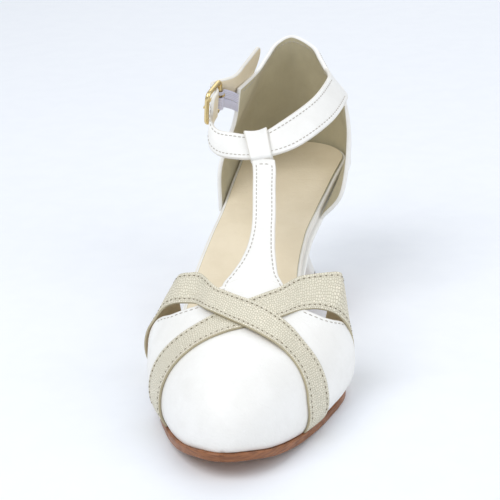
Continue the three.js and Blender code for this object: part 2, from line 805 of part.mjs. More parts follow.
const buckleAxes = () => {
  const along = vector(...BUCKLE.along).normalize();
  const raw = vector(...BUCKLE.up);
  const up = raw.addScaledVector(along, -raw.dot(along)).normalize();
  const out = new THREE.Vector3().crossVectors(up, along).normalize();
  const corner = vector(...BUCKLE.corner);
  const free = (a, u, o) => corner.clone().addScaledVector(along, a).addScaledVector(up, u).addScaledVector(out, o);
  return { along, up, out, free, at: (a, u, o) => place(free(a, u, o)) };
};

// Rows given in the buckle's axes run through the middle of its height
function ankleRow(row) {
  if (row.centre) return [...row.centre, ...row.across];
  const { free, up } = buckleAxes();
  return [...free(row.along, BUCKLE_HEIGHT / 2 + row.up, row.out), ...up];
}

const anklePath = through(ANKLE_STRAP.map(ankleRow));

function ankleFrame(row) {
  const q = anklePath(row);
  const before = anklePath(row - 0.05);
  const after = anklePath(row + 0.05);
  const along = vector(after[0] - before[0], after[1] - before[1], after[2] - before[2]).normalize();
  const across = vector(q[3], q[4], q[5]);
  const out = new THREE.Vector3().crossVectors(across, along).normalize();
  return { centre: vector(q[0], q[1], q[2]), along, across, out };
}

function ankleStrap() {
  const rows = [];
  const last = ANKLE_STRAP.length - 1;
  const steps = 78;
  for (let i = 0; i <= steps; i += 1) {
    const row = (last * i) / steps;
    const { centre, across, out } = ankleFrame(row);
    const fromTip = (last - row) * TIP_ROW;
    const half = (ANKLE_STRAP_WIDTH / 2) * Math.max(0.25, cap(fromTip, { length: 4, power: 2 }));
    rows.push({
      front: centre.clone().addScaledVector(across, -half),
      rear: centre.clone().addScaledVector(across, half),
      out,
    });
  }
  return strip(rows, 2, ANKLE_STRAP_WALL);
}

// Slot in the ankle strap that the prong passes through
function prongSlot() {
  const frames = PRONG_SLOT.map((row) => {
    const { centre, across, out } = ankleFrame(row);
    return { centre: place(centre), across, out };
  });
  return bar(frames, PRONG_RADIUS + 0.7, 4);
}

// Folded end of the T-strap round the ankle strap
function foldedLoop() {
  const steps = 4;
  const rings = [1, 0].map((outer) => {
    const list = [];
    for (let i = 0; i <= steps; i += 1) {
      const share = (2 * i) / steps - 1;
      const wall = outer ? UPPER_WALL - 0.1 : 0;
      const halfAcross = ANKLE_STRAP_WIDTH / 2 + LOOP_SLACK + wall;
      const halfOut = ANKLE_STRAP_WALL / 2 + LOOP_SLACK + wall;
      const ring = [];
      for (let k = 0; k < 16; k += 1) {
        const angle = (2 * Math.PI * (k + 0.5)) / 16;
        const bend = (value) => Math.sign(value) * Math.pow(Math.abs(value), 0.4);
        const lift = bend(Math.sin(angle));
        const row = LOOP_AT + LOOP_HALF * share * (1 + LOOP_TAPER * lift) + LOOP_SKEW * lift;
        const { centre, across, out } = ankleFrame(row);
        const point = centre.clone();
        point.addScaledVector(across, halfAcross * bend(Math.sin(angle)));
        point.addScaledVector(out, halfOut * bend(Math.cos(angle)));
        ring.push(place(point));
      }
      list.push(ring);
    }
    return list;
  });
  return tube(rings[0], rings[1]);
}

// Open tube wall between outer rings and inner rings
function tube(outer, inner) {
  const rows = [];
  const count = outer[0].length;
  for (let k = 0; k < count; k += 1) {
    const ring = outer.map((list) => list[k]);
    const back = inner.map((list) => list[k]).reverse();
    rows.push([...ring, ...back]);
  }
  return loft(rows, true);
}

function vamp() {
  const room = [underStrap, overStrap].map((rows) => strapBody(rows, STRAP_WALL + 2 * RELIEF, RELIEF));
  const toe = room.reduce(cut, vampShell());
  return join(fromManifold(largest(toManifold(toe))), tStrap(), foldedLoop());
}

// Heel cup with the ankle strap leaving its medial wing
function cupPoint(u, v) {
  const column = u * (CUP_BASE.length - 1);
  const middle = (CUP_BASE.length - 1) / 2;
  const [at] = through(CUP_BASE.map((distance) => [distance]))(column);
  const edge = rim(at, column < middle ? 1 : -1, GAP + QUARTER_WALL / 2);
  const base = [edge.x, edge.at, seat(edge.at)];
  const rows = [CUP_LOW, CUP_HIGH, CUP_TOP].map((row) => through(row)(column));
  return vector(...through([base, ...rows])(v * 3));
}

function heelCup() {
  const around = 40;
  const up = 11;
  const grid = (out) => {
    const points = [];
    for (let i = 0; i <= around; i += 1) {
      const u = i / around;
      const line = [];
      for (let j = 0; j <= up; j += 1) {
        const v = j / up;
        const point = cupPoint(u, v);
        const low = clamp(u - 0.004, 0, 1);
        const high = clamp(u + 0.004, 0, 1);
        const sideways = cupPoint(high, v).sub(cupPoint(low, v));
        const upward = cupPoint(u, clamp(v + 0.01, 0, 1)).sub(cupPoint(u, clamp(v - 0.01, 0, 1)));
        const normal = sideways.cross(upward).normalize();
        const outward = vector(point.x, point.y - 200, 0);
        if (normal.dot(outward) < 0) normal.negate();
        normal.z *= smooth(0, 0.12, v);
        line.push(place(point.addScaledVector(normal.normalize(), out)));
      }
      points.push(line);
    }
    return points;
  };
  return shell(grid(QUARTER_WALL / 2), grid(-QUARTER_WALL / 2));
}

function quarter() {
  return join(heelCup(), cut(ankleStrap(), prongSlot()));
}

// Round-section rod along a path of points in buckle axes
function rod(points, radius, closed) {
  const sides = 10;
  const count = points.length;
  const rings = points.map((point, i) => {
    const before = points[closed ? (i + count - 1) % count : Math.max(i - 1, 0)];
    const after = points[closed ? (i + 1) % count : Math.min(i + 1, count - 1)];
    const along = after.clone().sub(before).normalize();
    const { out } = buckleAxes();
    const flat = Math.abs(along.dot(out)) > 0.9 ? buckleAxes().up : out;
    const first = new THREE.Vector3().crossVectors(along, flat).normalize();
    const second = new THREE.Vector3().crossVectors(first, along).normalize();
    const ring = [];
    for (let k = 0; k < sides; k += 1) {
      const angle = (2 * Math.PI * k) / sides;
      ring.push(
        point.clone()
          .addScaledVector(first, radius * Math.cos(angle))
          .addScaledVector(second, radius * Math.sin(angle)),
      );
    }
    return ring;
  });
  return loft(rings, closed);
}

function buckleFrame() {
  const { at } = buckleAxes();
  const path = [];
  const corner = 3;
  const corners = [
    [corner, corner, 180], [BUCKLE_LENGTH - corner, corner, 270],
    [BUCKLE_LENGTH - corner, BUCKLE_HEIGHT - corner, 0], [corner, BUCKLE_HEIGHT - corner, 90],
  ];
  corners.forEach(([a, u, start]) => {
    for (let k = 0; k <= 5; k += 1) {
      const angle = THREE.MathUtils.degToRad(start + 18 * k);
      path.push(at(a + corner * Math.cos(angle), u + corner * Math.sin(angle), 0));
    }
  });
  return rod(path, WIRE / 2, true);
}

function buckleProng() {
  const { at } = buckleAxes();
  const u = BUCKLE_HEIGHT / 2;
  const turn = WIRE / 2 + GAP + PRONG_RADIUS;
  const path = [];
  for (let k = 0; k <= 8; k += 1) {
    const angle = THREE.MathUtils.degToRad(-115 + 37.5 * k);
    path.push(at(BUCKLE_LENGTH + turn * Math.cos(angle), u, turn * Math.sin(angle)));
  }
  path.push(at(BUCKLE_LENGTH - 4.5, u, 1.7), at(BUCKLE_LENGTH - 8, u, 2), at(3, u, 2.1), at(-0.6, u, 2));
  return rod(path, PRONG_RADIUS, false);
}

// Elastic from inside the lateral front edge of the cup, folded round the rear bar of the buckle
function elastic() {
  const { at, up, out } = buckleAxes();
  const turn = (WIRE + ELASTIC_WALL) / 2 + GAP;
  const u = BUCKLE_HEIGHT / 2 - 0.3;
  const anchor = place(vector(-21, 178.4, 99.4));
  const path = [anchor, anchor.clone().lerp(at(BUCKLE_LENGTH + 3, u, -1.7), 0.5)];
  for (let degrees = -60; degrees >= -300; degrees -= 40) {
    const angle = THREE.MathUtils.degToRad(degrees);
    path.push(at(BUCKLE_LENGTH + turn * Math.cos(angle), u, turn * Math.sin(angle)));
  }
  const frames = path.map((centre, i) => {
    const before = path[Math.max(i - 1, 0)];
    const after = path[Math.min(i + 1, path.length - 1)];
    const along = after.clone().sub(before).normalize();
    return { centre, across: up, out: new THREE.Vector3().crossVectors(up, along).normalize() };
  });
  const band = bar(frames, ELASTIC_WIDTH / 2, ELASTIC_WALL / 2);
  const ends = [at(BUCKLE_LENGTH - 5, u + 0.3, 0), at(BUCKLE_LENGTH + 5.2, u + 0.3, 0)];
  const slot = bar(ends.map((centre) => ({ centre, across: up, out })), PRONG_RADIUS + GAP, 6);
  return cut(band, slot);
}

const FINISH = {
  whiteLeather: { color: 0xf4f3ef, roughness: 0.42, metalness: 0 },
  champagneLeather: { color: 0xd8cdb8, roughness: 0.45, metalness: 0.15 },
  soleLeather: { color: 0x8a4f30, roughness: 0.55, metalness: 0 },
  sockLeather: { color: 0xe6d3b6, roughness: 0.6, metalness: 0 },
  liftRubber: { color: 0x2b2725, roughness: 0.7, metalness: 0 },
  goldMetal: { color: 0xe0c273, roughness: 0.25, metalness: 1 },
  elasticWeb: { color: 0xb9b7cb, roughness: 0.85, metalness: 0 },
};

const PIECES = [
  { name: "outsole", build: outsole, finish: "soleLeather" },
  { name: "insole", build: insole, finish: "whiteLeather" },
  { name: "insole_sock", build: sock, finish: "sockLeather" },
  { name: "heel", build: heel, finish: "whiteLeather" },
  { name: "top_lift", build: topLift, finish: "liftRubber" },
  { name: "vamp", build: vamp, finish: "whiteLeather" },
  { name: "crossed_straps", build: crossedStraps, finish: "champagneLeather" },
  { name: "quarter", build: quarter, finish: "whiteLeather" },
  { name: "buckle_frame", build: buckleFrame, finish: "goldMetal" },
  { name: "buckle_prong", build: buckleProng, finish: "goldMetal" },
  { name: "elastic_gore", build: elastic, finish: "elasticWeb" },
];

const materials = Object.fromEntries(
  Object.entries(FINISH).map(([name, values]) => {
    const material = new THREE.MeshStandardMaterial(values);
    material.name = name;
    return [name, material];
  }),
);

const shoe = new THREE.Group();
shoe.name = "kitten_heel_shoe";
PIECES.forEach(({ name, build, finish }) => {
  const mesh = new THREE.Mesh(toCreasedNormals(build(), THREE.MathUtils.degToRad(40)), materials[finish]);
  mesh.name = name;
  shoe.add(mesh);
});

export default shoe;
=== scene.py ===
"""Dresses a kitten heel T-strap sandal in white leather, champagne straps and a gilt buckle."""
import logging
from dataclasses import dataclass, field
from enum import Enum

import bmesh
import bpy
import numpy as np
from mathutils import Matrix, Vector


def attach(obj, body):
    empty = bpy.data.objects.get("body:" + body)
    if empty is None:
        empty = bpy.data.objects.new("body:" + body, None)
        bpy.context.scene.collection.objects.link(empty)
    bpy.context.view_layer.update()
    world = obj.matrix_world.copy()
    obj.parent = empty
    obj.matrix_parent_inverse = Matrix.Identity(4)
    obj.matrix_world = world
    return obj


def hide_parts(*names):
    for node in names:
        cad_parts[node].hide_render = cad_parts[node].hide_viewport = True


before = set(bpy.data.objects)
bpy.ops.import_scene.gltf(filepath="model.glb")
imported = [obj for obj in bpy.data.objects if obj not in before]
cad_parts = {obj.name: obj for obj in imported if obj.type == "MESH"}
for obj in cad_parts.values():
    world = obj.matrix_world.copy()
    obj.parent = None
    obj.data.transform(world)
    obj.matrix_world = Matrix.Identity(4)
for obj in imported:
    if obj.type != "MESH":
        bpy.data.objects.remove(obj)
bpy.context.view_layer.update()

logging.basicConfig(level=logging.INFO, format="%(message)s")
log = logging.getLogger("kitten_heel_shoe")

Array = np.ndarray
MILLIMETRE = 0.001
CENTIMETRES = 0.1  # millimetres to centimetres
TREAD_AT = 68.0  # distance from the insole toe to the frame's origin
WELD = 2e-6  # metres within which points become one
END_STEPS = 3  # rings that round off the end of a panel


def unit(vectors: Array) -> Array:
    """Vectors scaled to length one along their last axis."""
    size = np.linalg.norm(vectors, axis=-1, keepdims=True)
    return vectors / np.maximum(size, 1e-9)


def ease(low: float, high: float, value: Array) -> Array:
    """Smooth step from 0 at low to 1 at high."""
    share = np.clip((np.asarray(value, float) - low) / (high - low), 0, 1)
    return share * share * (3 - 2 * share)


class Profile:
    """Shape-preserving cubic through a short table of pairs."""

    def __init__(self, rows: list[tuple[float, float]]) -> None:
        """Works out the tangents.

        Args:
            rows: Pairs of place and value, places rising.
        """
        self.x, self.y = np.array(rows, float).T
        step = np.diff(self.x)
        slope = np.diff(self.y) / step
        tangent = np.zeros(len(self.x))
        tangent[0], tangent[-1] = slope[0], slope[-1]
        for i in range(1, len(self.x) - 1):
            if slope[i - 1] * slope[i] > 0:
                before = 2 * step[i] + step[i - 1]
                after = step[i] + 2 * step[i - 1]
                tangent[i] = (before + after) / (before / slope[i - 1] + after / slope[i])
        self.step, self.tangent = step, tangent

    def __call__(self, value: Array) -> Array:
        """Value of the curve at each place, held at its ends.

        Args:
            value: Places along the curve.

        Returns:
            Value at each place.
        """
        q = np.clip(value, self.x[0], self.x[-1])
        i = np.clip(np.searchsorted(self.x, q, side="right") - 1, 0, len(self.step) - 1)
        t = (q - self.x[i]) / self.step[i]
        return (
            self.y[i] * (1 + 2 * t) * (1 - t) ** 2
            + self.tangent[i] * self.step[i] * t * (1 - t) ** 2
            + self.y[i + 1] * t * t * (3 - 2 * t)
            + self.tangent[i + 1] * self.step[i] * t * t * (t - 1)
        )


class Route:
    """Smooth curve through a list of equal-shaped rows."""

    def __init__(self, rows: Array) -> None:
        """Keeps the rows with one mirrored row at each end.

        Args:
            rows: Rows that the curve passes through.
        """
        rows = np.asarray(rows, float)
        self.last = len(rows) - 1
        self.rows = np.concatenate([[2 * rows[0] - rows[1]], rows, [2 * rows[-1] - rows[-2]]])

    def __call__(self, position: Array) -> Array:
        """Rows between the given ones.

        Args:
            position: Fractional positions, 0 for the first row.

        Returns:
            One row for each position.
        """
        q = np.clip(np.atleast_1d(position).astype(float), 0, self.last)
        i = np.minimum(np.floor(q), self.last - 1).astype(int)
        t = (q - i).reshape(-1, *([1] * (self.rows.ndim - 1)))
        p0, p1, p2, p3 = (self.rows[i + k] for k in range(4))
        a, b = 2 * p1, p2 - p0
        d, e = 2 * p0 - 5 * p1 + 4 * p2 - p3, 3 * p1 - p0 - 3 * p2 + p3
        return 0.5 * (a + b * t + d * t * t + e * t**3)


def cap(distance: Array, length: float, power: float) -> Array:
    """Rounded end: 0 at the end and 1 past the given length."""
    q = np.clip(1 - np.asarray(distance, float) / length, 0, 1)
    return (1 - q**power) ** (1 / power)


@dataclass(frozen=True)
class LastForm:
    """The foot form that every piece follows, in millimetres from the insole toe."""

    length: float = 235.0
    ball_width: float = 74.5
    heel_rise: float = 55.6
    instep: float = 80.0
    gap: float = 0.3
    sole: float = 3.2
    upper_wall: float = 1.4
    strap_wall: float = 1.2
    toe_cap: tuple[float, float] = (60, 1.85)  # length and power of the rounded end
    heel_cap: tuple[float, float] = (27, 2.2)
    crest_cap: tuple[float, float] = (26, 2)
    level_angle: float = 0.35  # radians above the insole edge over which walls lean out
    section_power: float = 2.15
    lower_share: float = 0.8
    medial: Profile = Profile([
        (0.0, 0.376), (0.064, 0.38), (0.132, 0.392), (0.174, 0.408), (0.226, 0.432), (0.264, 0.462),
        (0.302, 0.482), (0.336, 0.472), (0.366, 0.43), (0.417, 0.369), (0.481, 0.275), (0.54, 0.199),
        (0.6, 0.164), (0.664, 0.185), (0.723, 0.239), (0.787, 0.295), (0.855, 0.342), (0.919, 0.362),
        (1.0, 0.362),
    ])
    lateral: Profile = Profile([
        (0.0, 0.403), (0.064, 0.413), (0.132, 0.43), (0.174, 0.452), (0.226, 0.474), (0.264, 0.497),
        (0.302, 0.518), (0.336, 0.537), (0.366, 0.55), (0.417, 0.554), (0.481, 0.544), (0.54, 0.528),
        (0.6, 0.499), (0.664, 0.446), (0.723, 0.397), (0.787, 0.369), (0.855, 0.349), (0.919, 0.349),
        (1.0, 0.349),
    ])
    rise_share: Profile = Profile([
        (-0.03, 0.158), (0.0, 0.138), (0.043, 0.085), (0.128, 0.027), (0.226, 0.0), (0.353, 0.0),
        (0.426, 0.038), (0.511, 0.173), (0.596, 0.385), (0.681, 0.635), (0.766, 0.827), (0.851, 0.953),
        (1.0, 1.0),
    ])
    crest_share: Profile = Profile([
        (0.0, 0.33), (0.085, 0.388), (0.183, 0.444), (0.264, 0.5), (0.34, 0.594), (0.404, 0.688),
        (0.489, 0.825), (0.587, 1.0),
    ])
    swell_share: Profile = Profile([
        (0.0, 0.03), (0.064, 0.055), (0.15, 0.1), (0.226, 0.135), (0.34, 0.13), (0.42, 0.1), (1.0, 0.1),
    ])
    ledge: Profile = Profile([(0.0, 3.6), (0.1, 3.0), (0.2, 2.5), (0.34, 2.6), (0.49, 1.2), (1.0, 1.2)])
    sole_section: Profile = Profile([(-0.03, 3.2), (0.38, 3.2), (0.55, 2.2), (1.0, 2.2)])

    def rise(self, at: Array) -> Array:
        """Height of the sole's top above its flat part."""
        return self.heel_rise * self.rise_share(np.asarray(at) / self.length)

    def seat(self, at: Array) -> Array:
        """Height of the insole's underside."""
        return self.sole + self.gap + self.rise(at)

    def section(self, at: Array) -> tuple[Array, Array]:
        """Centre and half width of the insole.

        Args:
            at: Distances from the toe.

        Returns:
            Sideways centre and half width at each distance.
        """
        share = np.clip(np.asarray(at, float) / self.length, 0, 1)
        medial = self.ball_width * self.medial(share)
        lateral = self.ball_width * self.lateral(share)
        ends = cap(at, *self.toe_cap) * cap(self.length - np.asarray(at, float), *self.heel_cap)
        return (medial - lateral) / 2, (medial + lateral) / 2 * ends

    def rim(self, at: Array, side: Array, out: Array) -> Array:
        """Insole edge moved outward in plan.

        Args:
            at: Distances from the toe.
            side: 1 for the medial edge, -1 for the lateral one.
            out: Distance outward.

        Returns:
            Sideways place and distance from the toe.
        """
        near = np.clip(at, 0.01, self.length - 0.01)
        step = np.minimum(0.2, np.minimum(near / 2, (self.length - near) / 2))

        def edge(distance: Array) -> Array:
            """Sideways place of the insole edge."""
            centre, half = self.section(distance)
            return centre + side * half

        slope = (edge(near + step) - edge(near - step)) / (2 * step)
        norm = np.hypot(1, slope)
        return np.stack([edge(near) + side * out / norm, near - side * slope * out / norm], axis=-1)

    def tuck(self, at: Array) -> Array:
        """Angle below level at which the last meets the insole edge."""
        swell = self.swell_share(np.clip(np.asarray(at) / self.length, 0, 1))
        return np.arccos((1 / (1 + swell)) ** (self.section_power / 2))

    def surface(self, at: Array, angle: Array) -> Array:
        """Points of the last round its cross-sections.

        Args:
            at: Distances from the toe.
            angle: 0 medial, a quarter turn at the crest, half a turn lateral.

        Returns:
            Points of the last.
        """
        near = np.clip(at, 0, self.length)
        centre, half = self.section(near)
        swell = self.swell_share(near / self.length)
        crest = self.instep * self.crest_share(near / self.length) * cap(near, *self.crest_cap)
        tuck = self.tuck(near)
        upper = crest / (1 + self.lower_share * np.sin(tuck))
        middle = self.seat(near) + self.lower_share * upper * np.sin(tuck)
        c, s = np.cos(angle), np.sin(angle)
        power = 2 / self.section_power
        x = centre + half * (1 + swell) * np.sign(c) * np.abs(c) ** power
        z = middle + np.where(s >= 0, upper * np.abs(s) ** power, self.lower_share * upper * s)
        return np.stack(np.broadcast_arrays(x, near, z), axis=-1)

    def over(self, at: Array, angle: Array, out: Array) -> Array:
        """Last surface moved outward, standing level at the insole edge.

        Args:
            at: Distances from the toe.
            angle: Angles as in surface.
            out: Distances outward.

        Returns:
            Moved points.
        """
        near = np.maximum(at, 0.02)
        step = np.minimum(0.3, near / 2)
        point = self.surface(near, angle)
        alongward = self.surface(near + step, angle) - self.surface(near - step, angle)
        roundward = self.surface(near, angle + 0.02) - self.surface(near, angle - 0.02)
        normal = unit(np.cross(roundward, alongward))
        centre, _ = self.section(near)
        outward = np.stack(
            np.broadcast_arrays(point[..., 0] - centre, np.zeros(1), point[..., 2] - self.seat(near)), axis=-1
        )
        inward = np.where(near > 2, (normal * outward).sum(-1) < 0, normal[..., 1] > 0)
        normal = np.where(inward[..., None], -normal, normal)
        tuck = self.tuck(near)
        lifted = ease(0, self.level_angle, np.minimum(angle + tuck, np.pi + tuck - angle))
        normal[..., 2] *= lifted
        moved = point + unit(normal) * np.asarray(out)[..., None]
        moved[..., 2] += (self.seat(moved[..., 1]) - self.seat(near)) * (1 - lifted)
        return moved


LAST = LastForm()


class Band(Enum):
    """Which finish a face of a leather panel takes."""

    FACE = 0
    LINING = 1
    EDGE = 2


class Solid:
    """Rings of points and the faces between them, turned into one mesh object."""

    def __init__(self) -> None:
        """Starts with no points."""
        self.points: list[Array] = []
        self.faces: list[tuple[int, ...]] = []
        self.bands: list[int] = []
        self.uvs: list[Array] = []

    def count(self) -> int:
        """Number of points so far."""
        return sum(len(part) for part in self.points)

    def join(self, other: "Solid") -> None:
        """Takes in another solid.

        Args:
            other: The solid to add.
        """
        base = self.count()
        self.points += other.points
        self.uvs += other.uvs
        self.faces += [tuple(base + i for i in face) for face in other.faces]
        self.bands += other.bands

    def rings(self, rings: Array, bands: Array, closed: bool = False, uv: Array | None = None) -> None:
        """Joins closed rings in order.

        Args:
            rings: Points, ring by ring.
            bands: Material index for each stretch of a ring.
            closed: Whether the last ring meets the first.
            uv: Surface coordinates for each point, or None.
        """
        rows, count, _ = rings.shape
        base = self.count()
        self.points.append(rings.reshape(-1, 3))
        flat = np.zeros((rows * count, 2)) if uv is None else uv.reshape(-1, 2)
        self.uvs.append(flat)
        for i in range(rows if closed else rows - 1):
            a, b = base + i * count, base + ((i + 1) % rows) * count
            for j in range(count):
                k = (j + 1) % count
                self.faces.append((a + j, a + k, b + k, b + j))
                self.bands.append(int(bands[j]))

    def fan(self, ring: Array, band: int) -> None:
        """Closes a ring with triangles round its middle.

        Args:
            ring: Points of the ring.
            band: Material index.
        """
        base = self.count()
        self.points.append(np.vstack([ring, ring.mean(axis=0)]))
        self.uvs.append(np.zeros((len(ring) + 1, 2)))
        for j in range(len(ring)):
            self.faces.append((base + j, base + (j + 1) % len(ring), base + len(ring)))
            self.bands.append(band)

    def bridge(self, ring: Array, band: int) -> None:
        """Closes a ring with quads straight across between matching sides.

        Args:
            ring: Points of the ring.
            band: Material index.
        """
        base = self.count()
        count = len(ring)
        self.points.append(ring)
        self.uvs.append(np.zeros((count, 2)))
        for j in range(count // 2 - 1):
            self.faces.append((base + j, base + j + 1, base + count - 2 - j, base + count - 1 - j))
            self.bands.append(band)

    def build(self, name: str, finishes: list[bpy.types.Material], slot: str, crease: float = 50) -> bpy.types.Object:
        """Makes the object, welded and facing out, riding on the shoe's one body.

        Args:
            name: Name of the piece.
            finishes: Materials by band.
            slot: Material slot of the record; not used.
            crease: Angle in degrees above which an edge stays sharp.

        Returns:
            The new object.
        """
        points = np.concatenate(self.points).copy()
        points[:, 1] -= TREAD_AT
        mesh = bpy.data.meshes.new(name)
        mesh.from_pydata((points * MILLIMETRE).tolist(), [], self.faces)
        for finish in finishes:
            mesh.materials.append(finish)
        mesh.polygons.foreach_set("material_index", self.bands)
        layer = mesh.uv_layers.new(name="surface")
        uvs = np.concatenate(self.uvs)
        order = np.zeros(len(mesh.loops), int)
        mesh.loops.foreach_get("vertex_index", order)
        layer.data.foreach_set("uv", uvs[order].ravel())
        work = bmesh.new()
        work.from_mesh(mesh)
        bmesh.ops.remove_doubles(work, verts=work.verts, dist=WELD)
        bmesh.ops.dissolve_degenerate(work, edges=work.edges, dist=1e-7)
        bmesh.ops.recalc_face_normals(work, faces=work.faces)
        work.to_mesh(mesh)
        work.free()
        mesh.shade_smooth()
        mesh.set_sharp_from_angle(angle=np.radians(crease))
        piece = bpy.data.objects.new(name, mesh)
        bpy.context.scene.collection.objects.link(piece)
        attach(piece, "root")
        log.info("%s: %d faces", name, len(mesh.polygons))
        return piece


@dataclass
class Panel:
    """Leather panel between an outer and an inner grid, with rounded edges."""

    outer: Array
    inner: Array
    pole: bool = False  # the first row is a single point
    roundness: float = 0.8
    side_roundness: float | None = None  # of the first column
    edge_steps: int = 3

    def ring_parts(self) -> tuple[Array, Array, Array, Array]:
        """Closed rings round each row.

        Returns:
            Points, middle points, column numbers and bands of the rings.
        """
        half = (self.outer - self.inner) / 2
        middle = (self.outer + self.inner) / 2
        last = self.outer.shape[1] - 1
        points = [self.outer[:, j] for j in range(last + 1)]
        middles = [middle[:, j] for j in range(last + 1)]
        columns = list(range(last + 1))
        bands = [Band.FACE.value] * last + [Band.EDGE.value]

        def edge(column: int, inside: int, angles: Array) -> None:
            """Adds the rounded edge beside a column.

            Args:
                column: Number of the edge column.
                inside: Number of the column next to it.
                angles: Angles round the edge, from the outer face.
            """
            away = unit(middle[:, column] - middle[:, inside])
            near = self.roundness if self.side_roundness is None or column else self.side_roundness
            reach = np.linalg.norm(half[:, column], axis=-1, keepdims=True) * near
            for angle in angles:
                shifted = middle[:, column] + np.sin(angle) * reach * away
                points.append(shifted + np.cos(angle) * half[:, column])
                middles.append(shifted)
                columns.append(column)

        turn = np.pi * np.arange(1, self.edge_steps + 1) / (self.edge_steps + 1)
        edge(last, last - 1, turn)
        bands += [Band.EDGE.value] * self.edge_steps
        for j in range(last, -1, -1):
            points.append(self.inner[:, j])
            middles.append(middle[:, j])
            columns.append(j)
        bands += [Band.LINING.value] * last + [Band.EDGE.value]
        edge(0, 1, turn[::-1])
        bands += [Band.EDGE.value] * self.edge_steps
        return np.stack(points, axis=1), np.stack(middles, axis=1), np.array(columns), np.array(bands)

    def solid(self) -> Solid:
        """Rings along the panel with a rounded edge at each end.

        Returns:
            The closed shell.
        """
        points, middles, columns, bands = self.ring_parts()
        middle = (self.outer + self.inner) / 2
        rows = list(points)
        wall = np.linalg.norm(self.outer - self.inner, axis=-1) / 2
        turn = np.pi / 2 * np.arange(1, END_STEPS + 1) / END_STEPS
        for end, inside, first in ((0, 1, True), (-1, -2, False)):
            away = unit(middle[end] - middle[inside])[columns]
            reach = (wall[end] * self.roundness)[columns][:, None]
            if first and self.pole:
                continue
            for angle in turn:
                ring = middles[end] + np.cos(angle) * (points[end] - middles[end]) + np.sin(angle) * reach * away
                if first:
                    rows.insert(0, ring)
                else:
                    rows.append(ring)
        solid = Solid()
        rings = np.stack(rows)
        lengths = np.linalg.norm(np.diff(rings, axis=0), axis=-1).mean(axis=1)
        along = np.concatenate([[0], np.cumsum(lengths)])
        widths = np.linalg.norm(np.diff(points[len(points) // 2], axis=0), axis=-1)
        across = np.concatenate([[0], np.cumsum(widths)])
        uv = np.stack(np.broadcast_arrays(across[None, :], along[:, None]), axis=-1) * CENTIMETRES
        solid.rings(rings, bands, uv=uv)
        count = rings.shape[1]
        starts = [] if self.pole else list(range(END_STEPS))
        for row in starts + [len(rings) - 2 - k for k in range(END_STEPS)]:
            solid.bands[row * count:(row + 1) * count] = [Band.EDGE.value] * count
        return solid

    def seam(self, inset: float, far: bool, flip: bool = False, rows: slice = slice(None)) -> tuple[Array, Array]:
        """Line on the outer face at a steady distance in from an edge.

        Args:
            inset: Distance from the edge.
            far: Whether the edge is the last column rather than the first.
            flip: Whether to follow the last or first row instead of a column.
            rows: Part of the edge that the line covers.

        Returns:
            Points and surface normals along the line.
        """
        outer = np.swapaxes(self.outer, 0, 1) if flip else self.outer
        inner = np.swapaxes(self.inner, 0, 1) if flip else self.inner
        outer, inner = outer[rows], inner[rows]
        if far:
            outer, inner = outer[:, ::-1], inner[:, ::-1]
        points, normals = [], []
        for line, back in zip(outer, inner):
            step = np.linalg.norm(np.diff(line, axis=0), axis=-1)
            run = np.concatenate([[0], np.cumsum(step)])
            points.append([np.interp(inset, run, line[:, k]) for k in range(3)])
            away = unit(line - back)
            normals.append([np.interp(inset, run, away[:, k]) for k in range(3)])
        return np.array(points), unit(np.array(normals))


Colour = tuple[float, float, float, float]
Socket = bpy.types.NodeSocket


class Graph:
    """Nodes and links of one material or node group."""

    def __init__(self, tree: bpy.types.NodeTree) -> None:
        """Keeps the tree to draw in."""
        self.tree = tree

    def put(self, node: bpy.types.Node, values: dict) -> None:
        """Sets or links a node's inputs.

        Args:
            node: The node.
            values: Socket values, or sockets to link from, by socket name or number.
        """
        for name, value in values.items():
            if isinstance(value, Socket):
                self.tree.links.new(value, node.inputs[name])
            else:
                node.inputs[name].default_value = value

    def add(self, kind: str, values: dict | None = None, **settings: object) -> bpy.types.Node:
        """Adds a node.

        Args:
            kind: Node type name.
            values: Socket values, or sockets to link from, by socket name or number.
            settings: Node properties.

        Returns:
            The new node.
        """
        node = self.tree.nodes.new(kind)
        for name, setting in settings.items():
            setattr(node, name, setting)
        self.put(node, values or {})
        return node

    def math(self, operation: str, first: object, second: object) -> Socket:
        """Result of a two-value math node."""
        return self.add("ShaderNodeMath", {0: first, 1: second}, operation=operation).outputs[0]

    def times(self, first: object, second: object) -> Socket:
        """Product of two values."""
        return self.math("MULTIPLY", first, second)

    def blend(self, share: object, low: object, high: object) -> Socket:
        """Colour between two colours."""
        return self.add("ShaderNodeMix", {0: share, 6: low, 7: high}, data_type="RGBA").outputs[2]

    def remap(self, value: object, span: tuple[float, float], result: tuple[float, float]) -> Socket:
        """Value moved from one range to another, held at its ends."""
        places = {0: value, 1: span[0], 2: span[1], 3: result[0], 4: result[1]}
        return self.add("ShaderNodeMapRange", places, interpolation_type="SMOOTHSTEP").outputs[0]

    def noise(self, place: Socket, scale: object, detail: float, **more: float) -> bpy.types.Node:
        """Cloudy noise, with any further input by name."""
        return self.add("ShaderNodeTexNoise", {"Vector": place, "Scale": scale, "Detail": detail, **more})

    def bump(self, height: Socket, depth: float, under: Socket | None = None) -> Socket:
        """Normal bent by a height of so many metres, over another normal if one is given."""
        values = {"Height": height, "Distance": depth, "Strength": 1.0}
        return self.add("ShaderNodeBump", values | ({"Normal": under} if under is not None else {})).outputs[0]


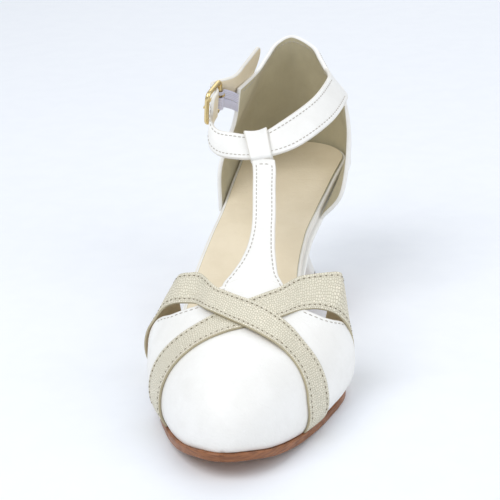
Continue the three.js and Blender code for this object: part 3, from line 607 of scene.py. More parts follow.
class Effect(Enum):
    """Surface effects shared by several materials."""

    GRAIN = "leather_grain"
    MOTTLE = "tone_mottle"
    WEAR = "edge_wear"
    CREASE = "flex_crease"

    def group(self) -> bpy.types.NodeTree:
        """The effect's node group, made on first use.

        Returns:
            The node group.
        """
        known = bpy.data.node_groups.get(self.value)
        if known:
            return known
        tree = bpy.data.node_groups.new(self.value, "ShaderNodeTree")
        makers = {
            Effect.GRAIN: self.grain, Effect.MOTTLE: self.mottle, Effect.WEAR: self.wear, Effect.CREASE: self.crease,
        }
        makers[self](Graph(tree))
        return tree

    @staticmethod
    def ends(
        graph: Graph, inputs: dict[str, float | None], outputs: list[str]
    ) -> tuple[bpy.types.bpy_prop_collection, bpy.types.Node]:
        """Gives a group its named sockets.

        Args:
            graph: Graph of the group.
            inputs: Starting value by name, or None for a vector.
            outputs: Names of the values that the group puts out.

        Returns:
            Sockets that carry the inputs, and the node that takes the outputs.
        """
        for name, value in inputs.items():
            kind = "NodeSocketVector" if value is None else "NodeSocketFloat"
            socket = graph.tree.interface.new_socket(name, in_out="INPUT", socket_type=kind)
            if value is not None:
                socket.default_value = value
        for name in outputs:
            graph.tree.interface.new_socket(name, in_out="OUTPUT", socket_type="NodeSocketFloat")
        return graph.add("NodeGroupInput").outputs, graph.add("NodeGroupOutput")

    @staticmethod
    def grain(graph: Graph) -> None:
        """Fine pebbles with pores between them.

        Args:
            graph: Graph of the group.
        """
        inward, outward = Effect.ends(graph, {"Vector": None, "Scale": 900.0, "Pores": 0.3}, ["Height", "Pore"])
        place, scale = inward["Vector"], inward["Scale"]
        pebble = graph.add("ShaderNodeTexVoronoi", {"Vector": place, "Scale": scale}, feature="SMOOTH_F1")
        ripple = graph.noise(place, graph.times(scale, 0.4), 4.0).outputs[0]
        domed = graph.remap(pebble.outputs["Distance"], (0.1, 0.75), (1, 0))
        mixed = graph.math("ADD", graph.times(domed, 0.6), graph.times(ripple, 0.5))
        pit = graph.add("ShaderNodeTexVoronoi", {"Vector": place, "Scale": graph.times(scale, 0.75)})
        hole = graph.times(graph.remap(pit.outputs["Distance"], (0.05, 0.16), (1, 0)), inward["Pores"])
        graph.put(outward, {"Height": graph.math("SUBTRACT", mixed, hole), "Pore": hole})

    @staticmethod
    def mottle(graph: Graph) -> None:
        """Soft uneven tone.

        Args:
            graph: Graph of the group.
        """
        inward, outward = Effect.ends(graph, {"Vector": None, "Scale": 60.0}, ["Mask"])
        cloud = graph.noise(inward["Vector"], inward["Scale"], 5.0, Roughness=0.6)
        graph.put(outward, {"Mask": graph.remap(cloud.outputs[0], (0.35, 0.65), (0, 1))})

    @staticmethod
    def wear(graph: Graph) -> None:
        """Rubbed places along convex edges, broken up by noise.

        Args:
            graph: Graph of the group.
        """
        inward, outward = Effect.ends(graph, {"Vector": None, "Amount": 0.5}, ["Mask"])
        shape = graph.add("ShaderNodeNewGeometry")
        raised = graph.remap(shape.outputs["Pointiness"], (0.56, 0.66), (0, 1))
        patch = graph.noise(inward["Vector"], 220.0, 3.0).outputs[0]
        broken = graph.times(raised, graph.remap(patch, (0.35, 0.6), (0.25, 1)))
        graph.put(outward, {"Mask": graph.times(broken, inward["Amount"])})

    @staticmethod
    def crease(graph: Graph) -> None:
        """Long fine wrinkles across the shoe.

        Args:
            graph: Graph of the group.
        """
        inward, outward = Effect.ends(graph, {"Vector": None, "Scale": 120.0}, ["Height"])
        long = graph.add("ShaderNodeMapping", {"Vector": inward["Vector"], "Scale": (0.35, 1.6, 1.0)})
        fold = graph.noise(long.outputs[0], inward["Scale"], 3.0, Distortion=0.4).outputs[0]
        centred = graph.math("ABSOLUTE", graph.math("SUBTRACT", fold, 0.5), 0.0)
        graph.put(outward, {"Height": graph.remap(centred, (0.0, 0.05), (0, 1))})

    def use(self, graph: Graph, **values: object) -> bpy.types.bpy_prop_collection:
        """Places the group in a material and returns its outputs."""
        return graph.add("ShaderNodeGroup", values, node_tree=self.group()).outputs


class Coating(Graph):
    """Graph of one material round its shader."""

    def __init__(self, name: str) -> None:
        """Starts the material with its object coordinates.

        Args:
            name: Name of the material.
        """
        self.material = bpy.data.materials.new(name)
        self.material.use_nodes = True
        super().__init__(self.material.node_tree)
        self.place = self.add("ShaderNodeTexCoord").outputs["Object"]

    def sheet(self) -> Socket:
        """Centimetres across and along the piece."""
        return self.add("ShaderNodeUVMap", uv_map="surface").outputs[0]

    def mask(self, effect: Effect, **values: float) -> Socket:
        """Mask of a shared effect."""
        return effect.use(self, Vector=self.place, **values)["Mask"]

    def finish(self, values: dict) -> bpy.types.Material:
        """Feeds the shader's sockets and hands over the material."""
        self.put(self.tree.nodes["Principled BSDF"], values)
        return self.material


def paint(red: int, green: int, blue: int) -> Colour:
    """Linear colour of an sRGB one."""
    share = [value / 255 for value in (red, green, blue)]
    return (*[s / 12.92 if s <= 0.04045 else ((s + 0.055) / 1.055) ** 2.4 for s in share], 1.0)


@dataclass(frozen=True)
class Leather:
    """Dyed leather with grain, uneven tone, faint creases and rubbed edges."""

    name: str
    colour: Colour
    shade: Colour
    rubbed: Colour
    roughness: float = 0.42
    coat: float = 0.0
    grain: float = 1100.0  # pebbles in a metre
    depth: float = 0.00006
    pores: float = 0.25
    crease_depth: float = 0.00004
    wear: float = 0.4
    sheen: float = 0.0
    shading: float = 0.35  # how strongly the uneven tone shows
    pore_shading: float = 0.7

    def material(self) -> bpy.types.Material:
        """Builds the material.

        Returns:
            The new material.
        """
        coat = Coating(self.name)
        grain = Effect.GRAIN.use(coat, Vector=coat.place, Scale=self.grain, Pores=self.pores)
        crease = Effect.CREASE.use(coat, Vector=coat.place, Scale=110.0)["Height"]
        tone = coat.mask(Effect.MOTTLE, Scale=55.0)
        rub = coat.mask(Effect.WEAR, Amount=self.wear)
        dyed = coat.blend(coat.times(tone, self.shading), self.colour, self.shade)
        pored = coat.blend(coat.times(grain["Pore"], self.pore_shading), dyed, self.shade)
        rough = coat.remap(tone, (0, 1), (self.roughness - 0.05, self.roughness + 0.07))
        return coat.finish({
            "Base Color": coat.blend(rub, pored, self.rubbed),
            "Roughness": coat.math("ADD", rough, coat.times(rub, 0.12)),
            "Normal": coat.bump(grain["Height"], self.depth, coat.bump(crease, self.crease_depth)),
            "Coat Weight": self.coat,
            "Coat Roughness": 0.25,
            "Sheen Weight": self.sheen,
        })


@dataclass(frozen=True)
class LizardLeather:
    """Champagne leather embossed with small scales in lines across the strap, with painted shade in the grooves between
    scales and painted glints on scattered scales.
    """

    name: str
    colour: Colour
    # darker colour painted into the grooves between scales, painted shade
    groove: Colour
    # light colour of painted glints on scattered scales; the uneven tone also leans towards it
    glint: Colour
    across: float = 7.5  # scales in a centimetre across the strap
    along: float = 10.0  # scales in a centimetre along it
    middle: float = 7.3  # centimetres along the strap where the pattern starts, both ways
    waver: float = 0.09  # centimetres by which the rows of scales wander
    scatter: float = 0.72
    depth: float = 0.00006
    grain_depth: float = 0.00002
    roughness: float = 0.4

    def material(self) -> bpy.types.Material:
        """Builds the material.

        Returns:
            The new material.
        """
        coat = Coating(self.name)
        sheet = coat.sheet()
        wander = coat.noise(sheet, 2.2, 2.0).outputs["Color"]
        bent = coat.add("ShaderNodeVectorMath", {0: wander, 3: self.waver}, operation="SCALE").outputs[0]
        start = (0.0, -self.middle, 0.0)
        centred = coat.add("ShaderNodeVectorMath", {0: sheet, 1: start}, operation="ADD").outputs[0]
        moved = coat.add("ShaderNodeVectorMath", {0: centred, 1: bent}, operation="ADD").outputs[0]
        laid = coat.add("ShaderNodeMapping", {"Vector": moved, "Scale": (self.across, self.along, 1.0)}).outputs[0]
        cells = {"Vector": laid, "Scale": 1.0, "Randomness": self.scatter}
        rim = coat.add("ShaderNodeTexVoronoi", cells, feature="DISTANCE_TO_EDGE", voronoi_dimensions="2D")
        cell = coat.add("ShaderNodeTexVoronoi", cells, voronoi_dimensions="2D")
        scale_top = coat.remap(rim.outputs["Distance"], (0.02, 0.22), (0, 1))
        lone = coat.add("ShaderNodeSeparateColor", {0: cell.outputs["Color"]}).outputs[0]
        # scattered scales picked out for painted glints
        painted_glints = coat.remap(lone, (0.72, 0.9), (0, 1))
        grain = Effect.GRAIN.use(coat, Vector=coat.place, Scale=2600.0, Pores=0.0)["Height"]
        top = coat.blend(coat.times(painted_glints, 0.55), self.colour, self.glint)
        warm = coat.blend(coat.times(coat.mask(Effect.MOTTLE, Scale=90.0), 0.3), top, self.glint)
        # grooves between scales take the groove colour, painted shade
        sunk = coat.blend(scale_top, self.groove, warm)
        rub = coat.times(coat.mask(Effect.WEAR, Amount=0.35), 0.2)
        return coat.finish({
            "Base Color": coat.blend(rub, sunk, self.colour),
            "Metallic": coat.remap(lone, (0, 1), (0.05, 0.35)),
            "Roughness": coat.remap(scale_top, (0, 1), (self.roughness + 0.25, self.roughness)),
            "Normal": coat.bump(grain, self.grain_depth, coat.bump(scale_top, self.depth)),
        })


@dataclass(frozen=True)
class Gilt:
    """Polished pale gold plating with hairlines."""

    name: str
    colour: Colour
    worn: Colour
    roughness: float = 0.16
    depth: float = 0.000006

    def material(self) -> bpy.types.Material:
        """Builds the material.

        Returns:
            The new material.
        """
        coat = Coating(self.name)
        tone = coat.mask(Effect.MOTTLE, Scale=260.0)
        hair = coat.noise(coat.place, 4200.0, 2.0).outputs[0]
        return coat.finish({
            "Base Color": coat.blend(coat.mask(Effect.WEAR, Amount=0.6), self.colour, self.worn),
            "Roughness": coat.remap(tone, (0, 1), (self.roughness, self.roughness + 0.12)),
            "Metallic": 1.0,
            "Normal": coat.bump(hair, self.depth),
        })


@dataclass(frozen=True)
class Webbing:
    """Ribbed elastic with fine cords along it."""

    name: str
    colour: Colour
    # darker colour painted into the hollows between ribs and cross threads, painted shade; also the dark end of the
    # uneven tone
    hollow: Colour
    ribs: float = 14.0  # in a centimetre
    picks: float = 24.0  # cross threads in a centimetre
    depth: float = 0.00005

    def material(self) -> bpy.types.Material:
        """Builds the material.

        Returns:
            The new material.
        """
        coat = Coating(self.name)
        parts = coat.add("ShaderNodeSeparateXYZ", {0: coat.sheet()}).outputs
        turn = 2 * np.pi
        rib = coat.math("SINE", coat.times(parts[0], turn * self.ribs), 0.0)
        pick = coat.math("SINE", coat.times(parts[1], turn * self.picks), 0.0)
        fuzz = coat.noise(coat.place, 3000.0, 3.0).outputs[0]
        woven = coat.math("ADD", coat.math("ADD", rib, coat.times(pick, 0.45)), coat.times(fuzz, 0.8))
        # hollows of the weave take the darker colour, painted shade
        coloured = coat.blend(coat.remap(woven, (-1.0, 1.4), (0, 1)), self.hollow, self.colour)
        tone = coat.times(coat.mask(Effect.MOTTLE, Scale=180.0), 0.25)
        return coat.finish({
            "Base Color": coat.blend(tone, coloured, self.hollow),
            "Roughness": coat.remap(fuzz, (0.3, 0.7), (0.75, 0.95)),
            "Sheen Weight": 0.3,
            "Normal": coat.bump(woven, self.depth),
        })


@dataclass(frozen=True)
class Thread:
    """Twisted sewing thread."""

    name: str
    colour: Colour
    # darker colour painted into the hollows between the plies, painted shade; also the dark end of the uneven tone
    hollow: Colour
    depth: float = 0.00004

    def material(self) -> bpy.types.Material:
        """Builds the material.

        Returns:
            The new material.
        """
        coat = Coating(self.name)
        slanted = coat.add("ShaderNodeMapping", {"Vector": coat.place, "Rotation": (0.5, 0.4, 0.8)}).outputs[0]
        twist = {"Vector": slanted, "Scale": 1400.0, "Distortion": 1.5, "Detail": 1.0}
        ply = coat.add("ShaderNodeTexWave", twist).outputs["Fac"]
        tone = coat.times(coat.mask(Effect.MOTTLE, Scale=400.0), 0.3)
        return coat.finish({
            # hollows of the twist take the darker colour, painted shade
            "Base Color": coat.blend(tone, coat.blend(ply, self.hollow, self.colour), self.hollow),
            "Roughness": coat.remap(ply, (0, 1), (0.7, 0.5)),
            "Normal": coat.bump(ply, self.depth),
        })


@dataclass(frozen=True)
class SoleEdge:
    """Dyed and waxed edge of the sole, with darker streaks in layers along it."""

    name: str
    colour: Colour
    line: Colour
    wrap: Colour
    roughness: float = 0.42
    depth: float = 0.00008
    wrapped_from: float = 0.026  # distance behind the origin where the white covering begins
    wrap_edge: float = 0.0015

    def material(self) -> bpy.types.Material:
        """Builds the material.

        Returns:
            The new material.
        """
        coat = Coating(self.name)
        layered = coat.add("ShaderNodeMapping", {"Vector": coat.place, "Scale": (0.12, 0.12, 1.0)}).outputs[0]
        layer = coat.noise(layered, 1600.0, 4.0).outputs[0]
        tone = coat.mask(Effect.MOTTLE, Scale=70.0)
        streak = coat.times(coat.remap(layer, (0.42, 0.62), (0, 1)), 0.45)
        dyed = coat.blend(coat.math("ADD", streak, coat.times(tone, 0.2)), self.colour, self.line)
        edge = coat.blend(coat.mask(Effect.WEAR, Amount=0.5), dyed, self.colour)
        back = coat.add("ShaderNodeSeparateXYZ", {0: coat.place}).outputs[1]
        covered = coat.remap(back, (self.wrapped_from, self.wrapped_from + self.wrap_edge), (0, 1))
        return coat.finish({
            "Base Color": coat.blend(covered, edge, self.wrap),
            "Roughness": coat.remap(tone, (0, 1), (self.roughness, self.roughness + 0.15)),
            "Coat Weight": 0.15,
            "Normal": coat.bump(layer, self.depth),
        })


@dataclass
class Wardrobe:
    """Every finish of the shoe, made once."""

    white: Leather = Leather(
        "white_leather", paint(244, 243, 240), paint(228, 226, 221), paint(250, 249, 247), coat=0.12
    )
    white_edge: Leather = Leather(
        "white_edge_paint", paint(232, 229, 222), paint(205, 199, 188), paint(245, 243, 238), roughness=0.5
    )
    lining: Leather = Leather(
        "beige_lining", paint(196, 188, 160), paint(172, 162, 132), paint(208, 201, 178),
        roughness=0.62, grain=800.0, wear=0.2, sheen=0.1,
    )
    strap_lining: Leather = Leather(
        "strap_lining", paint(214, 198, 168), paint(190, 172, 140), paint(222, 208, 182), roughness=0.6
    )
    # folded strap edges: champagne-toned edge leather, darkened as painted shade for the thin shadow line along the
    # edge
    folded_edge_painted_shade: Leather = Leather(
        "folded_champagne_edge_painted_shade", paint(184, 174, 146), paint(150, 138, 108), paint(204, 196, 172),
        roughness=0.6, grain=1500.0,
    )
    sock: Leather = Leather(
        "sock_leather", paint(232, 219, 193), paint(216, 201, 171), paint(238, 228, 206),
        roughness=0.5, grain=950.0, pores=0.4,
    )
    # heel cover: the white leather greyed all over as painted shade
    cover: Leather = Leather(
        "heel_cover_leather", paint(234, 233, 229), paint(216, 214, 209), paint(226, 221, 213), coat=0.12
    )
    tread: Leather = Leather(
        "sole_tread", paint(172, 122, 80), paint(136, 90, 56), paint(118, 84, 60),
        roughness=0.6, grain=700.0, depth=0.00012, pores=0.6, wear=0.7,
    )
    lift: Leather = Leather(
        "lift_rubber", paint(46, 42, 40), paint(30, 28, 27), paint(96, 92, 88),
        roughness=0.7, grain=1600.0, wear=0.6,
    )
    welt: SoleEdge = SoleEdge("waxed_sole_edge", paint(152, 96, 56), paint(86, 50, 28), paint(240, 239, 235))
    # champagne: base colour, then painted shade for the scale grooves, then painted glint colour
    champagne: LizardLeather = LizardLeather(
        "champagne_leather", paint(225, 220, 202), paint(192, 185, 163), paint(246, 238, 220)
    )
    gilt: Gilt = Gilt("pale_gold", paint(226, 204, 150), paint(200, 176, 126))
    # second colour of the elastic: painted shade in the hollows of the weave
    web: Webbing = Webbing("elastic_web", paint(224, 223, 238), paint(194, 193, 214))
    # second colour of each thread: painted shade in the hollows between its plies
    thread: Thread = Thread("grey_thread", paint(208, 203, 194), paint(166, 160, 151))
    strap_thread: Thread = Thread("champagne_thread", paint(232, 228, 214), paint(196, 188, 168))
    # dark thread for every other strap stitch: painted shade standing in for the shaded needle holes
    strap_thread_painted_shade: Thread = Thread("dark_thread_painted_shade", paint(150, 140, 116), paint(104, 94, 76))
    made: dict[str, bpy.types.Material] = field(default_factory=dict)

    def get(self, name: str) -> bpy.types.Material:
        """The material of a finish, made on first use.

        Args:
            name: Field name of the finish.

        Returns:
            Its material.
        """
        if name not in self.made:
            self.made[name] = getattr(self, name).material()
        return self.made[name]

    def leathers(self, *names: str) -> list[bpy.types.Material]:
        """Materials of a panel's face, lining and edge."""
        return [self.get(name) for name in names]


def refine(grid: Array, count: int) -> Array:
    """Grid resampled along its rows by a cubic through them, evenly by length.

    Args:
        grid: Rows of points.
        count: Number of rows wanted, less one.

    Returns:
        The finer grid.
    """
    run = np.linalg.norm(np.diff(grid, axis=0), axis=-1).reshape(len(grid) - 1, -1).mean(axis=1)
    place = np.concatenate([[0], np.cumsum(run)])
    shape = (-1,) + (1,) * (grid.ndim - 1)
    slope = np.diff(grid, axis=0) / run.reshape(shape)
    before, after = run[:-1].reshape(shape), run[1:].reshape(shape)
    inner = (slope[:-1] * after + slope[1:] * before) / (before + after)
    tangent = np.concatenate([slope[:1], inner, slope[-1:]])
    wanted = np.linspace(0, place[-1], count + 1)
    i = np.clip(np.searchsorted(place, wanted, side="right") - 1, 0, len(run) - 1)
    step = run[i].reshape(shape)
    t = ((wanted - place[i]) / run[i]).reshape(shape)
    return (
        grid[i] * (1 + 2 * t) * (1 - t) ** 2
        + tangent[i] * step * t * (1 - t) ** 2
        + grid[i + 1] * t * t * (3 - 2 * t)
        + tangent[i + 1] * step * t * t * (t - 1)
    )


def lanes(width: float, inset: float, count: int, depth: float = 0.13) -> tuple[Array, Array]:
    """Columns across a band with a pressed line along each edge.

    Args:
        width: Width of the band.
        inset: Distance of the lines from its edges.
        count: Number of even steps across.
        depth: How far the lines are pressed in.

    Returns:
        Share across and sunk depth of each column.
    """
    even = np.linspace(0, 1, count + 1)
    marks = np.array([inset - 0.55, inset, inset + 0.55]) / width
    pressed = np.concatenate([marks, 1 - marks])
    clear = np.abs(even[:, None] - pressed[None, :]).min(axis=1) > 0.3 / width
    shares = np.sort(np.concatenate([even[clear], pressed]))
    line = np.minimum(np.abs(shares - marks[1]), np.abs(shares - 1 + marks[1])) * width
    return shares, depth * np.exp(-((line / 0.35) ** 2))


def sew(
    name: str, lines: list[tuple[Array, Array]], threads: list[bpy.types.Material], slot: str,
    pitch: float = 2.3, length: float = 1.75, radius: float = 0.24,
) -> bpy.types.Object:
    """Stitches along lines on a surface.

    Args:
        name: Name of the piece.
        lines: Points and surface normals of each line.
        threads: Thread materials, taken in turn.
        slot: Material slot of the record.
        pitch: Distance from stitch to stitch.
        length: Length of a stitch.
        radius: Radius of the thread.

    Returns:
        One object of all the stitches.
    """
    solid = Solid()
    stations = np.array([-0.5, -0.42, -0.2, 0.2, 0.42, 0.5]) * length
    widths = np.array([0.3, 0.8, 1.0, 1.0, 0.8, 0.3]) * radius
    heights = np.array([-0.9, -0.25, 0.1, 0.1, -0.25, -0.9]) * radius
    turn = np.linspace(0, 2 * np.pi, 7)[:-1]
    for points, normals in lines:
        run = np.concatenate([[0], np.cumsum(np.linalg.norm(np.diff(points, axis=0), axis=-1))])
        count = int(run[-1] / pitch)
        for k in range(count):
            middle = (k + 0.5) * run[-1] / count
            spot = np.array([np.interp(middle, run, points[:, c]) for c in range(3)])
            ahead = np.array([np.interp(middle + 0.4, run, points[:, c]) for c in range(3)])
            behind = np.array([np.interp(middle - 0.4, run, points[:, c]) for c in range(3)])
            up = unit(np.array([np.interp(middle, run, normals[:, c]) for c in range(3)]))
            along = unit(ahead - behind)
            side = unit(np.cross(up, along))
            up = np.cross(along, side)
            rings = (
                spot
                + (stations[:, None] * along + heights[:, None] * up)[:, None, :]
                + widths[:, None, None] * (np.cos(turn)[:, None] * side + np.sin(turn)[:, None] * up)[None]
            )
            turn_of = k % len(threads)
            solid.rings(rings, np.full(len(turn), turn_of))
            solid.fan(rings[0][::-1], turn_of)
            solid.fan(rings[-1], turn_of)
    return solid.build(name, threads, slot, crease=80)


@dataclass
class Slab:
    """Layer of the sole, with rounded edges."""

    reach: tuple[float, float]
    out: float | Profile  # distance outside the insole edge, steady or along the shoe
    level: float  # height of its top above the insole's underside
    wall: float | Profile
    ease: float
    stations: int = 170
    columns: int = 12
    round_steps: int = 5

    @staticmethod
    def along(value: float | Profile, at: Array) -> Array:
        """A size of the slab at distances from the toe."""
        return value(at / LAST.length) if isinstance(value, Profile) else np.full_like(at, value)

    def corner(self, side: int, angle: float, high: bool) -> Array:
        """Line along a rounded edge.

        Args:
            side: 1 for the medial edge, -1 for the lateral one.
            angle: Angle round the edge, 0 at its flat face.
            high: Whether the edge is the upper one.

        Returns:
            Points from toe to heel.
        """
        share = np.linspace(0, 1, self.stations + 1)
        at = self.reach[0] + (self.reach[1] - self.reach[0]) * (1 - np.cos(np.pi * share)) / 2
        inward = self.ease * (1 - np.sin(angle))
        edge = LAST.rim(at, np.full_like(at, side), self.along(self.out, at) - inward)
        lift = self.ease * (1 - np.cos(angle))
        top = LAST.seat(edge[:, 1]) + self.level
        return np.column_stack([edge, top - lift if high else top - self.along(self.wall, edge[:, 1]) + lift])

    def solid(self) -> Solid:
        """Rings across the slab from toe to heel.

        Returns:
            The closed layer.
        """
        turn = np.linspace(0, np.pi / 2, self.round_steps)
        medial = [self.corner(1, a, False) for a in turn] + [self.corner(1, a, True) for a in turn[::-1]]
        lateral = [self.corner(-1, a, True) for a in turn] + [self.corner(-1, a, False) for a in turn[::-1]]
        inner = np.linspace(0, 1, self.columns + 2)[1:-1]
        over = [medial[-1] + (lateral[0] - medial[-1]) * t for t in inner]
        under = [lateral[-1] + (medial[0] - lateral[-1]) * t for t in inner]
        edge = [Band.EDGE.value] * (len(medial) - 1)
        bands = edge + [Band.FACE.value] * (self.columns + 1) + edge + [Band.LINING.value] * (self.columns + 1)
        rings = np.stack(medial + over + lateral + under, axis=1)
        solid = Solid()
        solid.rings(rings, bands)
        for ring in (rings[0], rings[-1]):
            solid.fan(ring, Band.EDGE.value)
        return solid


@dataclass
class Bottom:
    """Outsole, insole, sock, covered heel and top lift."""

    breast: float = 187.0
    insole: float = 2.4
    sock: float = 0.7
    sock_inset: float = 1.8
    lift: float = 4.4
    seat_out: float = 1.6
    end_gap: float = 0.05  # the layers stop this far from the very end of the last
    rings: list[tuple[float, float, float, float]] = field(default_factory=lambda: [
        (4.7, 11.6, 188.6, 211.2), (12.0, 9.3, 188.8, 209.8), (20.0, 7.8, 188.8, 210.4),
        (28.0, 9.4, 188.6, 214.8), (37.0, 14.0, 188.2, 222.6), (45.0, 21.0, 187.6, 230.0),
    ])
    steps: int = 40

    def shares(self) -> Array:
        """Shares from breast to back, close together at both ends."""
        return (1 - np.cos(np.linspace(0, np.pi, self.steps + 1))) / 2

    def heel_ring(self, z: float, half: float, breast: float, back: float, grow: float = 0.0) -> Array:
        """Closed ring of the heel at one height.

        Args:
            z: Height.
            half: Half width.
            breast: Distance of its front from the toe.
            back: Distance of its back from the toe.
            grow: Distance outward.

        Returns:
            Points of the ring.
        """
        t = self.shares()
        depth = back - breast
        rounding = cap((1 - t) * depth, depth * 0.62, 2.1)
        width = half * cap(t * depth + 0.35, 4, 2) * rounding + grow * np.minimum(1, rounding * 3)
        at = breast - grow + (depth + 2 * grow) * t
        medial = np.column_stack([width, at, np.full_like(at, z)])
        lateral = medial[::-1] * np.array([-1, 1, 1])
        return np.vstack([medial, lateral])

    def seat_ring(self, out: float, drop: float) -> Array:
        """Closed ring of the heel seat under the insole.

        Args:
            out: Distance outside the insole edge.
            drop: Distance below the insole.

        Returns:
            Points of the ring.
        """
        at = self.breast + (LAST.length - 0.02 - self.breast) * self.shares()
        sides = []
        for side in (1, -1):
            edge = LAST.rim(at, np.full_like(at, side), np.full_like(at, out))
            sides.append(np.column_stack([edge, LAST.rise(edge[:, 1]) + LAST.sole - drop]))
        return np.vstack([sides[0], sides[1][::-1]])

    def build_heel(self, finishes: Wardrobe) -> bpy.types.Object:
        """Leather-covered heel.

        Args:
            finishes: Finishes of the shoe.

        Returns:
            The heel.
        """
        coarse = [self.heel_ring(*row) for row in self.rings]
        below = self.seat_ring(self.seat_out, 1.8)
        last = coarse[-1]
        between = last + (below - last) * 0.6
        between[:, 2] = last[:, 2] + (below[:, 2] - last[:, 2]) * 0.45
        body = refine(np.stack([*coarse, between, below]), 70)
        foot = self.heel_ring(*self.rings[0], grow=-0.35)
        turned = body[0].copy()
        turned[:, 2] += 0.3
        rows = [foot, turned, *body[2:], self.seat_ring(self.seat_out, 0.5)]
        rows += [self.seat_ring(self.seat_out - 0.15, 0.15), self.seat_ring(self.seat_out - 0.5, 0.0)]
        rings = np.stack(rows)
        solid = Solid()
        solid.rings(rings, np.zeros(rings.shape[1]))
        solid.bridge(rings[0], 0)
        solid.bridge(rings[-1], 0)
        # the heel takes the greyed copy of the white leather, painted shade
        piece = solid.build("heel_block", [finishes.get("cover")], "heel_cover")
        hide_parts("heel")
        return piece

    def build_lift(self, finishes: Wardrobe) -> bpy.types.Object:
        """Top lift with softened edges.

        Args:
            finishes: Finishes of the shoe.

        Returns:
            The lift.
        """
        _, half, breast, back = self.rings[0]
        steps = [(0.0, -0.15), (0.12, 0.1), (0.4, 0.25), (self.lift - 0.35, 0.25), (self.lift, 0.0)]
        rings = np.stack([self.heel_ring(z, half, breast, back, grow) for z, grow in steps])
        solid = Solid()
        solid.rings(rings, np.zeros(rings.shape[1]))
        solid.bridge(rings[0], 0)
        solid.bridge(rings[-1], 0)
        piece = solid.build("heel_tip", [finishes.get("lift")], "lift_rubber", crease=35)
        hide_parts("top_lift")
        return piece

    def build(self, finishes: Wardrobe) -> list[bpy.types.Object]:
        """Every piece under the foot.

        Args:
            finishes: Finishes of the shoe.

        Returns:
            The pieces.
        """
        front, rear = self.end_gap, LAST.length - self.end_gap
        step = self.insole + LAST.gap
        outsole = Slab((front, self.breast - LAST.gap), LAST.ledge, -LAST.gap, LAST.sole_section, 0.55)
        insole = Slab((front, rear), -LAST.gap / 2, self.insole, self.insole, 0.7)
        sock = Slab((front, rear), -self.sock_inset, step + self.sock, self.sock, 0.3)
        outsole = outsole.solid().build("sole", finishes.leathers("welt", "tread", "welt"), "sole_leather")
        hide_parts("outsole")
        insole = insole.solid().build(
            "insole_board", finishes.leathers("white", "lining", "white_edge"), "white_leather"
        )
        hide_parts("insole")
        sock = sock.solid().build("sock_lining", finishes.leathers("sock", "lining", "lining"), "sock_leather")
        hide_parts("insole_sock")
        return [outsole, insole, sock, self.build_heel(finishes), self.build_lift(finishes)]


